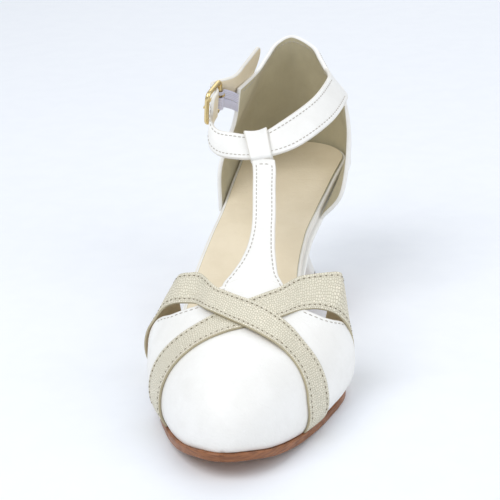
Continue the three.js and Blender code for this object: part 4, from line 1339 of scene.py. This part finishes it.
@dataclass
class ClosedToe:
    """White closed toe, the T-strap up the instep and its folded loop."""

    edge: Profile = Profile([
        (-40, 78.3), (-28, 78.2), (-10, 77.3), (3, 76.6), (14.6, 76.4), (25, 75.2), (31, 72.6), (38, 69.2),
        (46, 66.8), (57, 65.8), (72, 74.5), (88, 76.5), (103, 72.5), (118, 64.2), (135, 66.0), (147, 70.4),
        (155, 72.9), (165, 74.3), (177, 75.3), (190, 76.2), (208, 77.2), (220, 77.3),
    ])
    rows: int = 90
    columns: int = 150
    strap: list[tuple[float, float, float, float]] = field(default_factory=lambda: [
        (60, 0.2, 43.2, 13.5), (68, 0.4, 47.0, 13.0), (74, 0.6, 49.9, 12.2), (79, 0.5, 52.2, 9.4),
        (85, 1.1, 55.0, 7.2), (94, 1.4, 59.6, 5.3), (104, 1.0, 65.0, 4.6), (120, -0.8, 75.0, 4.6),
        (130, -2.0, 80.6, 4.7), (135, -3.1, 83.2, 4.8),
    ])
    seam_inset: float = 1.5
    strap_seam_inset: float = 1.3
    crowding: float = 1.5  # power that crowds the rows at the toe
    toe_share: float = 0.3  # share of the last over which the turned-under edge is looked up
    tip: float = 0.02  # the nearest to the toe that a row comes
    first_angle: float = 29.0  # degrees below the medial edge of the first column
    whole_angle: float = 238.0
    free_edge: tuple[tuple[float, float], ...] = ((26, 60), (116, 153))  # degrees that carry stitches
    strap_width: float = 9.4  # over which the lanes of the T-strap are laid out
    strap_lanes: int = 16
    strap_rows: int = 111
    strap_bow: float = 80.0  # twice the radius of the taut strap's face
    lift_off: tuple[float, float] = (70.0, 88.0)  # where the strap leaves the toe leather

    def toe_grid(self, out: float) -> Array:
        """Surface over the last from the toe to the rear edge.

        Args:
            out: Distance off the last.

        Returns:
            Grid of points, its first row all at the toe.
        """
        share = (np.arange(self.rows + 1) / self.rows)[:, None] ** self.crowding
        column = (np.arange(self.columns + 1) / self.columns)[None, :]
        tuck = LAST.tuck(LAST.length * self.toe_share * share)
        around = -tuck + (np.pi + 2 * tuck) * column
        at = np.maximum(self.edge(np.degrees(around)) * share, self.tip)
        own = LAST.tuck(at)
        grid = LAST.over(at, -own + (np.pi + 2 * own) * column, out)
        centre, _ = LAST.section(np.array(self.tip))
        grid[0] = (float(centre), -out, float(LAST.seat(np.array(-out))))
        return grid

    def column(self, degrees: float) -> int:
        """Column of the toe's grid at an angle round the last."""
        return int(round((degrees + self.first_angle) / self.whole_angle * self.columns))

    def strap_middle(self, at: Array, share: Array) -> Array:
        """Middle surface of the T-strap: laid on the toe, then taut up the instep.

        Args:
            at: Distances from the toe.
            share: Place across, -1 to 1.

        Returns:
            Points of the surface.
        """
        table = np.array(self.strap)
        x, z, half = (Profile(list(zip(table[:, 0], table[:, c])))(at) for c in (1, 2, 3))
        side = x + half * share
        centre, width = LAST.section(at)
        reach = width * (1 + LAST.swell_share(at / LAST.length))
        q = np.clip((side - centre) / reach, -1, 1)
        angle = np.arccos(np.sign(q) * np.abs(q) ** (LAST.section_power / 2))
        laid = LAST.over(at, angle, LAST.gap + LAST.upper_wall / 2)
        taut = np.stack(np.broadcast_arrays(side, at, z - (half * share) ** 2 / self.strap_bow), axis=-1)
        return laid + (taut - laid) * ease(*self.lift_off, at)[..., None]

    def strap_panel(self) -> Panel:
        """T-strap between its two faces.

        Returns:
            The T-strap's panel.
        """
        shares, sunk = lanes(self.strap_width, self.strap_seam_inset, self.strap_lanes)
        first, last = self.strap[0][0], self.strap[-1][0]
        at, share = np.meshgrid(np.linspace(first, last, self.strap_rows), 2 * shares - 1, indexing="ij")
        middle = self.strap_middle(at, share)
        along = self.strap_middle(np.minimum(at + 0.5, last), share) - self.strap_middle(at - 0.5, share)
        sideways = self.strap_middle(at, share + 0.05) - self.strap_middle(at, share - 0.05)
        normal = unit(np.cross(sideways, along))
        normal = np.where(normal[..., 2:] < 0, -normal, normal)
        wall = (LAST.upper_wall - 0.2) / 2
        return Panel(middle + normal * (wall - sunk[None, :, None]), middle - normal * wall)

    def loop_panel(self, ankle: "AnkleStrap") -> Panel:
        """Folded end of the T-strap round the ankle strap.

        Args:
            ankle: The strap that runs through the loop.

        Returns:
            The loop's panel.
        """
        grids = []
        angle = 2 * np.pi * (np.arange(64) + 0.5) / 64
        for wall in (LAST.upper_wall - 0.1, 0.0):
            share = np.linspace(-1, 1, 11)[None, :]
            bend_up = (np.sign(np.sin(angle)) * np.abs(np.sin(angle)) ** 0.4)[:, None]
            bend_out = (np.sign(np.cos(angle)) * np.abs(np.cos(angle)) ** 0.4)[:, None]
            spread = ankle.loop_half * share * (1 + ankle.loop_taper * bend_up)
            row = ankle.loop_at + spread + ankle.loop_skew * bend_up
            centre, _, across, out = ankle.frame(row)
            tall = ankle.width / 2 + ankle.loop_slack + wall
            deep = ankle.wall / 2 + ankle.loop_slack + wall
            grids.append(centre + across * (tall * bend_up)[..., None] + out * (deep * bend_out)[..., None])
        return Panel(grids[0], grids[1])

    def build(self, finishes: Wardrobe, ankle: "AnkleStrap") -> list[bpy.types.Object]:
        """Toe, T-strap, loop and their stitches.

        Args:
            finishes: Finishes of the shoe.
            ankle: The strap that runs through the loop.

        Returns:
            The pieces.
        """
        toe = Panel(
            self.toe_grid(LAST.gap + LAST.upper_wall), self.toe_grid(LAST.gap), pole=True, side_roundness=0.25
        )
        dressed = finishes.leathers("white", "lining", "white_edge")
        shell = toe.solid().build("closed_toe", dressed, "white_leather")
        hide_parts("vamp")
        band = self.strap_panel()
        strap = band.solid().build("t_strap", dressed, "white_leather")
        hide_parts("vamp")
        points, _, _, bands = self.loop_panel(ankle).ring_parts()
        solid = Solid()
        solid.rings(points, bands, closed=True)
        loop = solid.build("t_strap_loop", dressed, "white_leather")
        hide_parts("vamp")
        gaps = [slice(self.column(low), self.column(high)) for low, high in self.free_edge]
        lines = [toe.seam(self.seam_inset, True, True, part) for part in gaps]
        first, tie = 14, 106  # rows of the T-strap where its stitches start and where they cross it
        run = slice(first, tie + 1)
        lines += [band.seam(self.strap_seam_inset, far, rows=run) for far in (False, True)]
        lines.append((band.outer[tie, 4:-4], unit(band.outer - band.inner)[tie, 4:-4]))
        thread = sew("toe_stitching", lines, finishes.leathers("thread"), "white_leather")
        return [shell, strap, loop, thread]


@dataclass
class CrossedStrap:
    """One champagne strap from its foot on the sole, over the instep and down the other side."""

    name: str
    feet: tuple[float, float]
    free: list[tuple[float, ...]]
    laid: list[tuple[float, ...]]
    side: int
    over: bool
    inset: float = 1.7
    width: float = 13.2
    rise: float = 1.2
    crown: float = 1.8
    settle: float = 0.25  # how far the laid part sinks towards the toe leather
    turned: float = 0.2  # share of the laid rows that turns down under the sole's edge
    free_rows: int = 25
    laid_rows: int = 30
    rows: int = 190
    lane_count: int = 18
    fullness: float = 0.6  # power that rounds the bow of the free part
    sewn: tuple[int, int] = (3, 185)  # rows between which the stitches run

    def panel(self) -> Panel:
        """Strap between its two faces, its rows from the foot to the far side.

        Returns:
            The strap's panel.
        """
        shares, sunk = lanes(self.width, self.inset, self.lane_count)
        wall = LAST.strap_wall / 2
        grids = []
        foot = []
        for at in self.feet:
            edge = LAST.rim(np.array([at]), np.array([self.side]), np.array([LAST.gap + wall]))[0]
            foot += [edge[0], edge[1], float(LAST.seat(edge[1]))]
        free = Route([foot, *self.free])(np.linspace(0, len(self.free), self.free_rows))
        front, rear = free[:, None, :3], free[:, None, 3:]
        flat = front + (rear - front) * shares[None, :, None]
        bowed = np.sin(np.pi * np.linspace(0, 1, len(free))) ** self.fullness * self.crown
        along = np.gradient(front[:, 0] + rear[:, 0], axis=0)
        out = unit(np.cross(along, (rear - front)[:, 0]))
        inward = out[:, 0] * front[:, 0, 0] + out[:, 2] * (front[:, 0, 2] - 15) < 0
        out = np.where(inward[:, None], -out, out)
        out[:, 2] *= ease(0, 5, front[:, 0, 2] - LAST.seat(front[:, 0, 1]))
        out = unit(out)[:, None, :]
        flat = flat + out * (bowed[:, None] * 4 * shares * (1 - shares))[..., None]
        share = np.linspace(0, 1 + self.turned, self.laid_rows)
        laid = Route(self.laid)(np.minimum(share, 1) * (len(self.laid) - 1))
        down = np.maximum(0, (share - 1) / self.turned)[:, None]
        at = laid[:, 1:2] + (laid[:, 3:4] - laid[:, 1:2]) * shares
        degrees = laid[:, 0:1] + (laid[:, 2:3] - laid[:, 0:1]) * shares
        tuck = LAST.tuck(at)
        end = -tuck if self.side < 0 else np.pi + tuck
        angle = np.radians(degrees) * (1 - down) + end * down
        wall = wall - 0.1
        landed = ease(0, 0.25, share)[:, None]
        height = 2 * LAST.gap + LAST.upper_wall + wall + 0.1 - self.settle * landed
        if self.over:
            height = height + self.rise * ease(46, 68, degrees) * (1 - ease(110, 128, degrees))
        for face in (1, -1):
            offset = face * wall - (sunk if face > 0 else 0)
            free_part = flat + out * np.broadcast_to(offset, shares.shape)[None, :, None]
            laid_grid = LAST.over(at, angle, height + np.broadcast_to(offset, at.shape))
            grids.append(refine(np.concatenate([free_part, laid_grid]), self.rows))
        return Panel(grids[0], grids[1], roundness=0.35)

    def build(self, finishes: Wardrobe) -> list[bpy.types.Object]:
        """Strap and its two rows of stitches.

        Args:
            finishes: Finishes of the shoe.

        Returns:
            The pieces.
        """
        panel = self.panel()
        # the strap's edges take the darkened edge leather, painted shade
        dressed = finishes.leathers("champagne", "strap_lining", "folded_edge_painted_shade")
        strap = panel.solid().build(self.name, dressed, "champagne_leather")
        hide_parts("crossed_straps")
        lines = [panel.seam(self.inset, far, rows=slice(*self.sewn)) for far in (False, True)]
        # stitches alternate with the dark thread, painted shade of the needle holes
        threads = finishes.leathers("strap_thread", "strap_thread_painted_shade")
        thread = sew(f"{self.name}_stitching", lines, threads, "champagne_leather", 1.2, 1.05, 0.27)
        return [strap, thread]


def crossed_straps() -> list[CrossedStrap]:
    """The strap under the crossing, then the one over it.

    Returns:
        The two straps.
    """
    under = CrossedStrap(
        "medial_foot_strap", (79, 92),
        [
            (37.6, 78.6, 5.4, 31.4, 91.6, 6.2), (40.8, 77.8, 11, 29.4, 91, 13), (41.6, 76.8, 18.6, 28.4, 90, 23),
            (40.9, 75.8, 26, 30.2, 88.6, 33), (39, 74.4, 32, 34, 87.4, 42.6), (34.6, 72.4, 37.4, 35.6, 85.6, 50),
            (28.4, 69.4, 40.6, 28.8, 82.8, 51), (22.6, 65.4, 42, 21, 79.4, 51),
        ],
        [
            (70, 55.6, 76, 71), (82, 48.4, 87, 65), (97, 42, 100, 57.6), (114, 36.4, 116, 50.6),
            (131, 32.6, 133, 46.6), (152, 30.4, 152, 44.6), (171, 30, 171, 44),
        ],
        1, False,
    )
    over = CrossedStrap(
        "lateral_foot_strap", (78, 90.5),
        [
            (-43, 77.4, 5.6, -42.6, 90, 6), (-46.8, 76.6, 12, -40.4, 89.4, 12),
            (-47.4, 75.8, 19, -36.4, 88.6, 20), (-45.6, 74.8, 26, -33.8, 87.4, 27.6),
            (-41.8, 73.4, 32, -34, 86, 34.4), (-37.6, 71.8, 37.6, -35, 84.2, 40.6),
            (-32, 69.6, 41, -32.2, 82.2, 48.4), (-24.6, 66.2, 42.9, -24.4, 79, 51.2),
        ],
        [
            (108, 57, 104, 69.5), (96, 50, 94, 65), (83, 43.6, 79, 59), (68, 38.8, 64, 52.8),
            (50, 36, 45, 47), (30, 32.6, 25, 43.8), (10, 29.6, 8, 42.4),
        ],
        -1, True,
    )
    return [under, over]


@dataclass
class Buckle:
    """Gilt wire frame, prong and the elastic that holds it."""

    corner: tuple[float, float, float] = (-32.6, 158.0, 92.4)
    along_hint: tuple[float, float, float] = (0.24, 0.94, 0.24)
    up_hint: tuple[float, float, float] = (0.14, -0.2, 0.965)
    length: float = 15.0
    height: float = 15.6
    wire: float = 2.2
    bend: float = 3.0
    prong: float = 0.6
    web_width: float = 9.2
    web_wall: float = 0.7
    crease: float = 80.0  # degrees below which the metal's edges are shaded smooth
    web_lanes: int = 9
    parting: tuple[float, float] = (1.6, 3.0)  # distances over which the elastic closes beside the prong
    web_drop: float = 2.6  # middle of the elastic below the middle of the frame
    anchor: tuple[float, float, float] = (-21.0, 178.4, 97.2)

    def axes(self) -> tuple[Array, Array, Array]:
        """Directions along the buckle, up it and out of it.

        Returns:
            Three unit vectors.
        """
        along = unit(np.array(self.along_hint))
        raw = np.array(self.up_hint)
        up = unit(raw - along * (raw @ along))
        return along, up, unit(np.cross(up, along))

    def at(self, a: Array, u: Array, o: Array) -> Array:
        """Points in the buckle's axes.

        Args:
            a: Distance along.
            u: Distance up.
            o: Distance out.

        Returns:
            Points of the shoe.
        """
        along, up, out = self.axes()
        a, u, o = np.broadcast_arrays(np.asarray(a, float), np.asarray(u, float), np.asarray(o, float))
        return np.array(self.corner) + a[..., None] * along + u[..., None] * up + o[..., None] * out

    def rod(self, path: Array, radius: Array, closed: bool) -> Solid:
        """Round wire along a path, with domed ends where it is open.

        Args:
            path: Points along its middle.
            radius: Radius, the same all along or point by point.
            closed: Whether the path meets itself.

        Returns:
            The wire.
        """
        _, up, out = self.axes()
        if closed:
            along = unit(np.roll(path, -1, axis=0) - np.roll(path, 1, axis=0))
        else:
            along = unit(np.gradient(path, axis=0))
        steady = out if closed else up
        first = unit(np.cross(along, steady))
        second = np.cross(first, along)
        turn = np.linspace(0, 2 * np.pi, 21)[:-1]
        radius = np.broadcast_to(radius, len(path))
        rings = path[:, None] + radius[:, None, None] * (
            first[:, None] * np.cos(turn)[None, :, None] + second[:, None] * np.sin(turn)[None, :, None]
        )
        solid = Solid()
        solid.rings(rings, np.zeros(len(turn)), closed=closed)
        if not closed:
            solid.fan(rings[0][::-1], 0)
            solid.fan(rings[-1], 0)
        return solid

    def build_metal(self, finishes: Wardrobe) -> list[bpy.types.Object]:
        """Frame and prong.

        Args:
            finishes: Finishes of the shoe.

        Returns:
            The two pieces.
        """
        r, length, height = self.bend, self.length, self.height
        path = []
        for a, u, begin in (
            (r, r, 180), (length - r, r, 270), (length - r, height - r, 0), (r, height - r, 90),
        ):
            angle = np.radians(begin + np.linspace(0, 90, 13))
            path.append(self.at(a + r * np.cos(angle), u + r * np.sin(angle), 0))
        frame_path = np.concatenate(path)
        ring = self.rod(frame_path, np.array(self.wire / 2), True)
        hoop = ring.build("buckle_hoop", [finishes.get("gilt")], "gold_metal", crease=self.crease)
        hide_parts("buckle_frame")
        turn = self.wire / 2 + LAST.gap + self.prong
        angle = np.radians(-115 + 37.5 * np.arange(9))
        curl = self.at(length + turn * np.cos(angle), height / 2, turn * np.sin(angle))
        reach = self.at(np.array([length - 4.5, length - 8, 3, 0.9]), height / 2, np.array([1.7, 2, 2.1, 2]))
        line = refine(np.concatenate([curl, reach]), 70)
        along, share = [0, 0.05, 0.8, 0.96, 0.985, 1], [0.8, 1, 1, 0.8, 0.6, 0.25]
        taper = self.prong * np.interp(np.linspace(0, 1, len(line)), along, share)
        pin = self.rod(line, taper, False).build("buckle_pin", [finishes.get("gilt")], "gold_metal", crease=self.crease)
        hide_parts("buckle_prong")
        return [hoop, pin]

    def build_elastic(self, finishes: Wardrobe) -> bpy.types.Object:
        """Two lanes of elastic folded round the rear bar, with the prong between them.

        Args:
            finishes: Finishes of the shoe.

        Returns:
            The elastic.
        """
        _, up, _ = self.axes()
        turn = (self.wire + self.web_wall) / 2 + LAST.gap
        level = self.height / 2 - self.web_drop
        angle = np.radians(np.arange(-60, -301, -8))
        fold = self.at(self.length + turn * np.cos(angle), level, turn * np.sin(angle))
        begin = np.array(self.anchor)
        middle = begin + (self.at(self.length + 3, level, -1.7) - begin) * 0.5
        path = refine(np.concatenate([[begin, middle], fold]), 90)
        along = unit(np.gradient(path, axis=0))
        out = unit(np.cross(up, along))[:, None, :]
        solid = Solid()
        near = np.linalg.norm(path - self.at(self.length, level, 0), axis=-1)
        beside = 1 - ease(*self.parting, near)[:, None]  # lanes part round the prong
        split = 0.32 + 0.6 * beside
        groove = self.web_drop * beside
        for low, high in ((-self.web_width / 2, groove - split), (groove + split, self.web_width / 2)):
            span = low + (high - low) * np.linspace(0, 1, self.web_lanes)[None, :]
            middle_grid = path[:, None, :] + np.broadcast_to(span, (len(path), self.web_lanes))[..., None] * up
            solid.join(Panel(middle_grid + out * self.web_wall / 2, middle_grid - out * self.web_wall / 2).solid())
        solid.bands = [0] * len(solid.faces)
        piece = solid.build("elastic_loop", [finishes.get("web")], "elastic_web")
        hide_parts("elastic_gore")
        return piece


@dataclass
class AnkleStrap:
    """White strap from the medial wing round the ankle, through the buckle, to its free tip."""

    buckle: Buckle
    width: float = 13.0
    wall: float = 1.6
    inset: float = 1.6
    loop_at: float = 4.97
    loop_half: float = 0.36
    loop_skew: float = 0.045
    loop_taper: float = 0.2
    loop_slack: float = 0.5
    tip_row: float = 15.0  # length of the last row
    sewn: tuple[int, int] = (40, 326)  # rows between which the stitches run
    before: list[tuple[float, ...]] = field(default_factory=lambda: [
        (20.4, 208, 101.2, -0.48, -0.14, 0.87), (23.6, 199, 101.6, -0.61, -0.1, 0.78),
        (24.6, 186, 101.6, -0.62, -0.01, 0.79), (19.8, 163.6, 98, -0.63, 0.09, 0.77),
        (6.6, 146.2, 91.6, -0.55, 0.42, 0.72), (-6.4, 141.6, 87.4, -0.13, 0.84, 0.53),
        (-18.5, 143, 87.2, -0.15, 0.77, 0.64), (-26.2, 147.2, 87.8, -0.08, 0.61, 0.69),
        (-29.6, 151.8, 91.4, 0.05, 0.34, 0.78),
    ])
    inside: list[tuple[float, ...]] = field(default_factory=lambda: [
        (0.2, -2.8, 0), (7.4, -1.7, 0), (11.6, 1.6, 0), (15.2, 3.3, -1),
    ])
    after: list[tuple[float, ...]] = field(default_factory=lambda: [
        (-23.3, 178.6, 104.2, 0.2, -0.45, 1.0), (-19.6, 185.2, 108.0, 0.32, -0.56, 1.1),
        (-13.9, 198.6, 114.8, 0.34, -0.57, 1.1),
    ])

    def __post_init__(self) -> None:
        """Runs the path through the strap's rows."""
        _, up, _ = self.buckle.axes()
        held = [
            (*self.buckle.at(a, self.buckle.height / 2 + u, o), *up) for a, o, u in self.inside
        ]
        rows = [*self.before, *held, *self.after]
        self.last = len(rows) - 1
        self.path = Route(rows)

    def frame(self, row: Array) -> tuple[Array, Array, Array, Array]:
        """Centre, direction along, direction across and outward direction at rows.

        Args:
            row: Fractional row numbers.

        Returns:
            Centre, along, across and outward for each.
        """
        row = np.asarray(row, float)
        q = self.path(row.ravel())
        along = unit(self.path(row.ravel() + 0.05)[:, :3] - self.path(row.ravel() - 0.05)[:, :3])
        out = unit(np.cross(q[:, 3:], along))
        shape = (*row.shape, 3)
        return q[:, :3].reshape(shape), along.reshape(shape), q[:, 3:].reshape(shape), out.reshape(shape)

    def panel(self) -> Panel:
        """Strap between its two faces.

        Returns:
            The strap's panel.
        """
        shares, sunk = lanes(self.width * 0.9, self.inset, 14)
        row = np.linspace(0, self.last, 330)
        tail = np.concatenate([row[:-1], self.last - np.array([0.2, 0.12, 0.06, 0.025, 0.008, 0])])
        row = np.unique(np.round(np.sort(tail), 4))
        centre, _, across, out = self.frame(row)
        half = self.width / 2 * np.maximum(0.25, cap((self.last - row) * self.tip_row, 4, 2))
        offset = half[:, None] * (2 * shares - 1)[None, :]
        middle = centre[:, None] + offset[..., None] * across[:, None]
        out = out[:, None]
        return Panel(
            middle + out * (self.wall / 2 - sunk)[None, :, None], middle - out * self.wall / 2, roundness=0.7
        )

    def build(self, finishes: Wardrobe) -> list[bpy.types.Object]:
        """Strap and its stitches.

        Args:
            finishes: Finishes of the shoe.

        Returns:
            The pieces.
        """
        panel = self.panel()
        dressed = finishes.leathers("white", "sock", "white_edge")
        strap = panel.solid().build("ankle_band", dressed, "white_leather")
        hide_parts("quarter")
        lines = [panel.seam(self.inset, far, rows=slice(*self.sewn)) for far in (False, True)]
        thread = sew("ankle_stitching", lines, finishes.leathers("thread"), "white_leather", 2.1, 1.6)
        return [strap, thread]


@dataclass
class HeelCup:
    """White heel cup with beige lining and a rolled topline."""

    wall: float = 2.0
    inset: float = 1.9
    inside_inset: float = 2.2
    columns: int = 141
    plain_rows: int = 34  # up to plain_share of the height, evenly
    plain_share: float = 0.93
    topline_shares: tuple[float, ...] = (0.95, 0.965, 0.978, 0.99, 1.0)
    step: tuple[float, float] = (0.004, 0.01)  # round and up, to take slopes over
    centre: float = 200.0  # distance from the toe of the cup's centre
    upright: float = 0.12  # share of the height over which the wall stands up from the sole
    roundness: float = 0.9
    edge_steps: int = 5
    sewn: tuple[int, int] = (3, 138)  # columns between which the stitches run
    base: list[float] = field(default_factory=lambda: [170, 180, 198, 220, 235, 220, 198, 184, 173])
    low: list[tuple[float, ...]] = field(default_factory=lambda: [
        (28.4, 170.5, 57), (29.4, 185, 66), (29, 203, 72.5), (23.3, 225.6, 76), (0.2, 238.4, 77),
        (-22.4, 226, 76), (-28.8, 203, 72.5), (-30.2, 187, 69), (-29.8, 174, 67),
    ])
    high: list[tuple[float, ...]] = field(default_factory=lambda: [
        (30.8, 180.5, 82), (28.8, 192, 87), (24.6, 208, 91.6), (17.4, 225.6, 95.6), (0, 236.4, 98),
        (-15.6, 226, 96), (-20.8, 210, 92), (-22.6, 196, 88.6), (-23.6, 182, 87),
    ])
    top: list[tuple[float, ...]] = field(default_factory=lambda: [
        (27, 195.4, 99.6), (18.8, 204, 106.2), (14, 216, 109.2), (9, 226.4, 113), (-1.4, 232, 116.6),
        (-8.8, 227.4, 114.2), (-12.2, 217, 110), (-15.4, 202, 106), (-20.4, 179.4, 103.6),
    ])

    def surface(self, u: Array, v: Array) -> Array:
        """Middle of the wall, u round from the medial wing and v up from the sole.

        Args:
            u: 0 at the medial wing to 1 at the lateral one.
            v: 0 at the sole to 1 at the topline.

        Returns:
            Points of the surface.
        """
        shape = np.broadcast(u, v).shape
        u, v = (np.broadcast_to(value, shape).ravel() for value in (u, v))
        column = u * (len(self.base) - 1)
        at = Route([[value] for value in self.base])(column)[:, 0]
        side = np.where(column < (len(self.base) - 1) / 2, 1, -1)
        edge = LAST.rim(at, side, np.full_like(at, LAST.gap + self.wall / 2))
        rows = [np.column_stack([edge, LAST.seat(edge[:, 1])])]
        rows += [Route(table)(column) for table in (self.low, self.high, self.top)]
        stack = np.stack(rows)
        q = np.clip(v, 0, 1) * 3
        i = np.minimum(np.floor(q), 2).astype(int)
        t = (q - i)[:, None]
        padded = np.concatenate([[2 * stack[0] - stack[1]], stack, [2 * stack[-1] - stack[-2]]])
        pick = np.arange(len(i))
        p0, p1, p2, p3 = (padded[i + k, pick] for k in range(4))
        curve = 0.5 * (
            2 * p1 + (p2 - p0) * t + (2 * p0 - 5 * p1 + 4 * p2 - p3) * t**2 + (3 * p1 - p0 - 3 * p2 + p3) * t**3
        )
        return curve.reshape(*shape, 3)

    def panel(self) -> Panel:
        """Cup between its two faces.

        Returns:
            The cup's panel.
        """
        fine = np.concatenate([np.linspace(0, self.plain_share, self.plain_rows), self.topline_shares])
        u, v = np.meshgrid(np.linspace(0, 1, self.columns), fine, indexing="ij")
        point = self.surface(u, v)
        du, dv = self.step
        sideways = self.surface(np.clip(u + du, 0, 1), v) - self.surface(np.clip(u - du, 0, 1), v)
        upward = self.surface(u, np.clip(v + dv, 0, 1)) - self.surface(u, np.clip(v - dv, 0, 1))
        normal = unit(np.cross(sideways, upward))
        away = normal[..., 0] * point[..., 0] + normal[..., 1] * (point[..., 1] - self.centre)
        normal = np.where((away < 0)[..., None], -normal, normal)
        normal[..., 2] *= ease(0, self.upright, v)
        normal = unit(normal)
        half = self.wall / 2
        return Panel(
            point + normal * half, point - normal * half,
            roundness=self.roundness, side_roundness=self.roundness, edge_steps=self.edge_steps,
        )

    def build(self, finishes: Wardrobe) -> list[bpy.types.Object]:
        """Cup and its topline stitches, outside and inside.

        Args:
            finishes: Finishes of the shoe.

        Returns:
            The pieces.
        """
        panel = self.panel()
        cup = panel.solid().build("heel_counter", finishes.leathers("white", "lining", "white"), "white_leather")
        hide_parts("quarter")
        inside = Panel(panel.inner, panel.outer)
        whole = slice(*self.sewn)
        lines = [panel.seam(self.inset, True, rows=whole), inside.seam(self.inside_inset, True, rows=whole)]
        thread = sew("counter_stitching", lines, finishes.leathers("thread"), "white_leather", 2.1, 1.6)
        return [cup, thread]


@dataclass
class Studio:
    """Pale floor, soft lights and the camera at the photograph's angle."""

    eye: tuple[float, float, float] = (0.090828, -0.550821, 0.279182)
    forward: tuple[float, float, float] = (-0.15109782, 0.92199956, -0.35649159)
    up: tuple[float, float, float] = (-0.02383856, 0.34832301, 0.9370714)
    focal: float = 1475.0  # in pixels of a picture 500 wide
    picture: float = 500.0
    sensor: float = 36.0
    aim: tuple[float, float, float] = (0, 0.06, 0.04)
    floor_half: float = 3.0
    sky: tuple[float, float, float, float] = (0.92, 0.955, 1.0, 1)
    sky_power: float = 0.62
    floor: Leather = Leather(
        "studio_floor", paint(238, 241, 246), paint(234, 237, 243), paint(240, 243, 248),
        roughness=0.75, grain=300.0, depth=0.00001, pores=0.0, crease_depth=0.0, wear=0.0,
    )

    def camera(self) -> None:
        """Camera where the photographer stood."""
        data = bpy.data.cameras.new("camera")
        data.sensor_width = self.sensor
        data.lens = self.focal * data.sensor_width / self.picture
        data.clip_start = 0.01
        piece = bpy.data.objects.new("camera", data)
        bpy.context.scene.collection.objects.link(piece)
        forward = Vector(self.forward).normalized()
        right = forward.cross(Vector(self.up)).normalized()
        above = right.cross(forward)
        turn = piece.matrix_world.copy()
        for row in range(3):
            turn[row][0], turn[row][1], turn[row][2] = right[row], above[row], -forward[row]
            turn[row][3] = self.eye[row]
        piece.matrix_world = turn
        bpy.context.scene.camera = piece

    def light(self, name: str, place: tuple[float, float, float], size: float, power: float) -> None:
        """Square soft light aimed at the shoe.

        Args:
            name: Name of the light.
            place: Where it stands, in metres.
            size: Side of its square, in metres.
            power: Watts.
        """
        data = bpy.data.lights.new(name, "AREA")
        data.size, data.energy = size, power
        piece = bpy.data.objects.new(name, data)
        bpy.context.scene.collection.objects.link(piece)
        piece.location = place
        aim = Vector(self.aim) - piece.location
        piece.rotation_euler = aim.to_track_quat("-Z", "Y").to_euler()

    def build(self) -> None:
        """Floor, world, lights and camera."""
        mesh = bpy.data.meshes.new("floor")
        half = self.floor_half
        corners = [(-half, -half, 0), (half, -half, 0), (half, half, 0), (-half, half, 0)]
        mesh.from_pydata(corners, [], [(0, 1, 2, 3)])
        mesh.materials.append(self.floor.material())
        floor = bpy.data.objects.new("floor", mesh)
        bpy.context.scene.collection.objects.link(floor)
        world = bpy.data.worlds.new("studio")
        world.use_nodes = True
        sky = world.node_tree.nodes["Background"]
        sky.inputs[0].default_value = self.sky
        sky.inputs[1].default_value = self.sky_power
        bpy.context.scene.world = world
        bpy.context.scene.view_settings.view_transform = "Standard"
        self.light("key_light", (-0.55, -0.55, 1.15), 0.9, 8.8)
        self.light("fill_light", (0.95, -0.35, 0.75), 1.0, 4.0)
        self.light("rear_light", (0.1, 1.1, 1.0), 1.2, 4.5)
        self.camera()


def main() -> None:
    """Builds the studio and every sub-assembly of the shoe."""
    finishes = Wardrobe()
    Studio().build()
    buckle = Buckle()
    ankle = AnkleStrap(buckle)
    made = Bottom().build(finishes)
    made += ClosedToe().build(finishes, ankle)
    for strap in crossed_straps():
        made += strap.build(finishes)
    made += ankle.build(finishes)
    made += HeelCup().build(finishes)
    made += [*buckle.build_metal(finishes), buckle.build_elastic(finishes)]
    log.info("%d pieces", len(made))


if __name__ == "__main__":
    main()
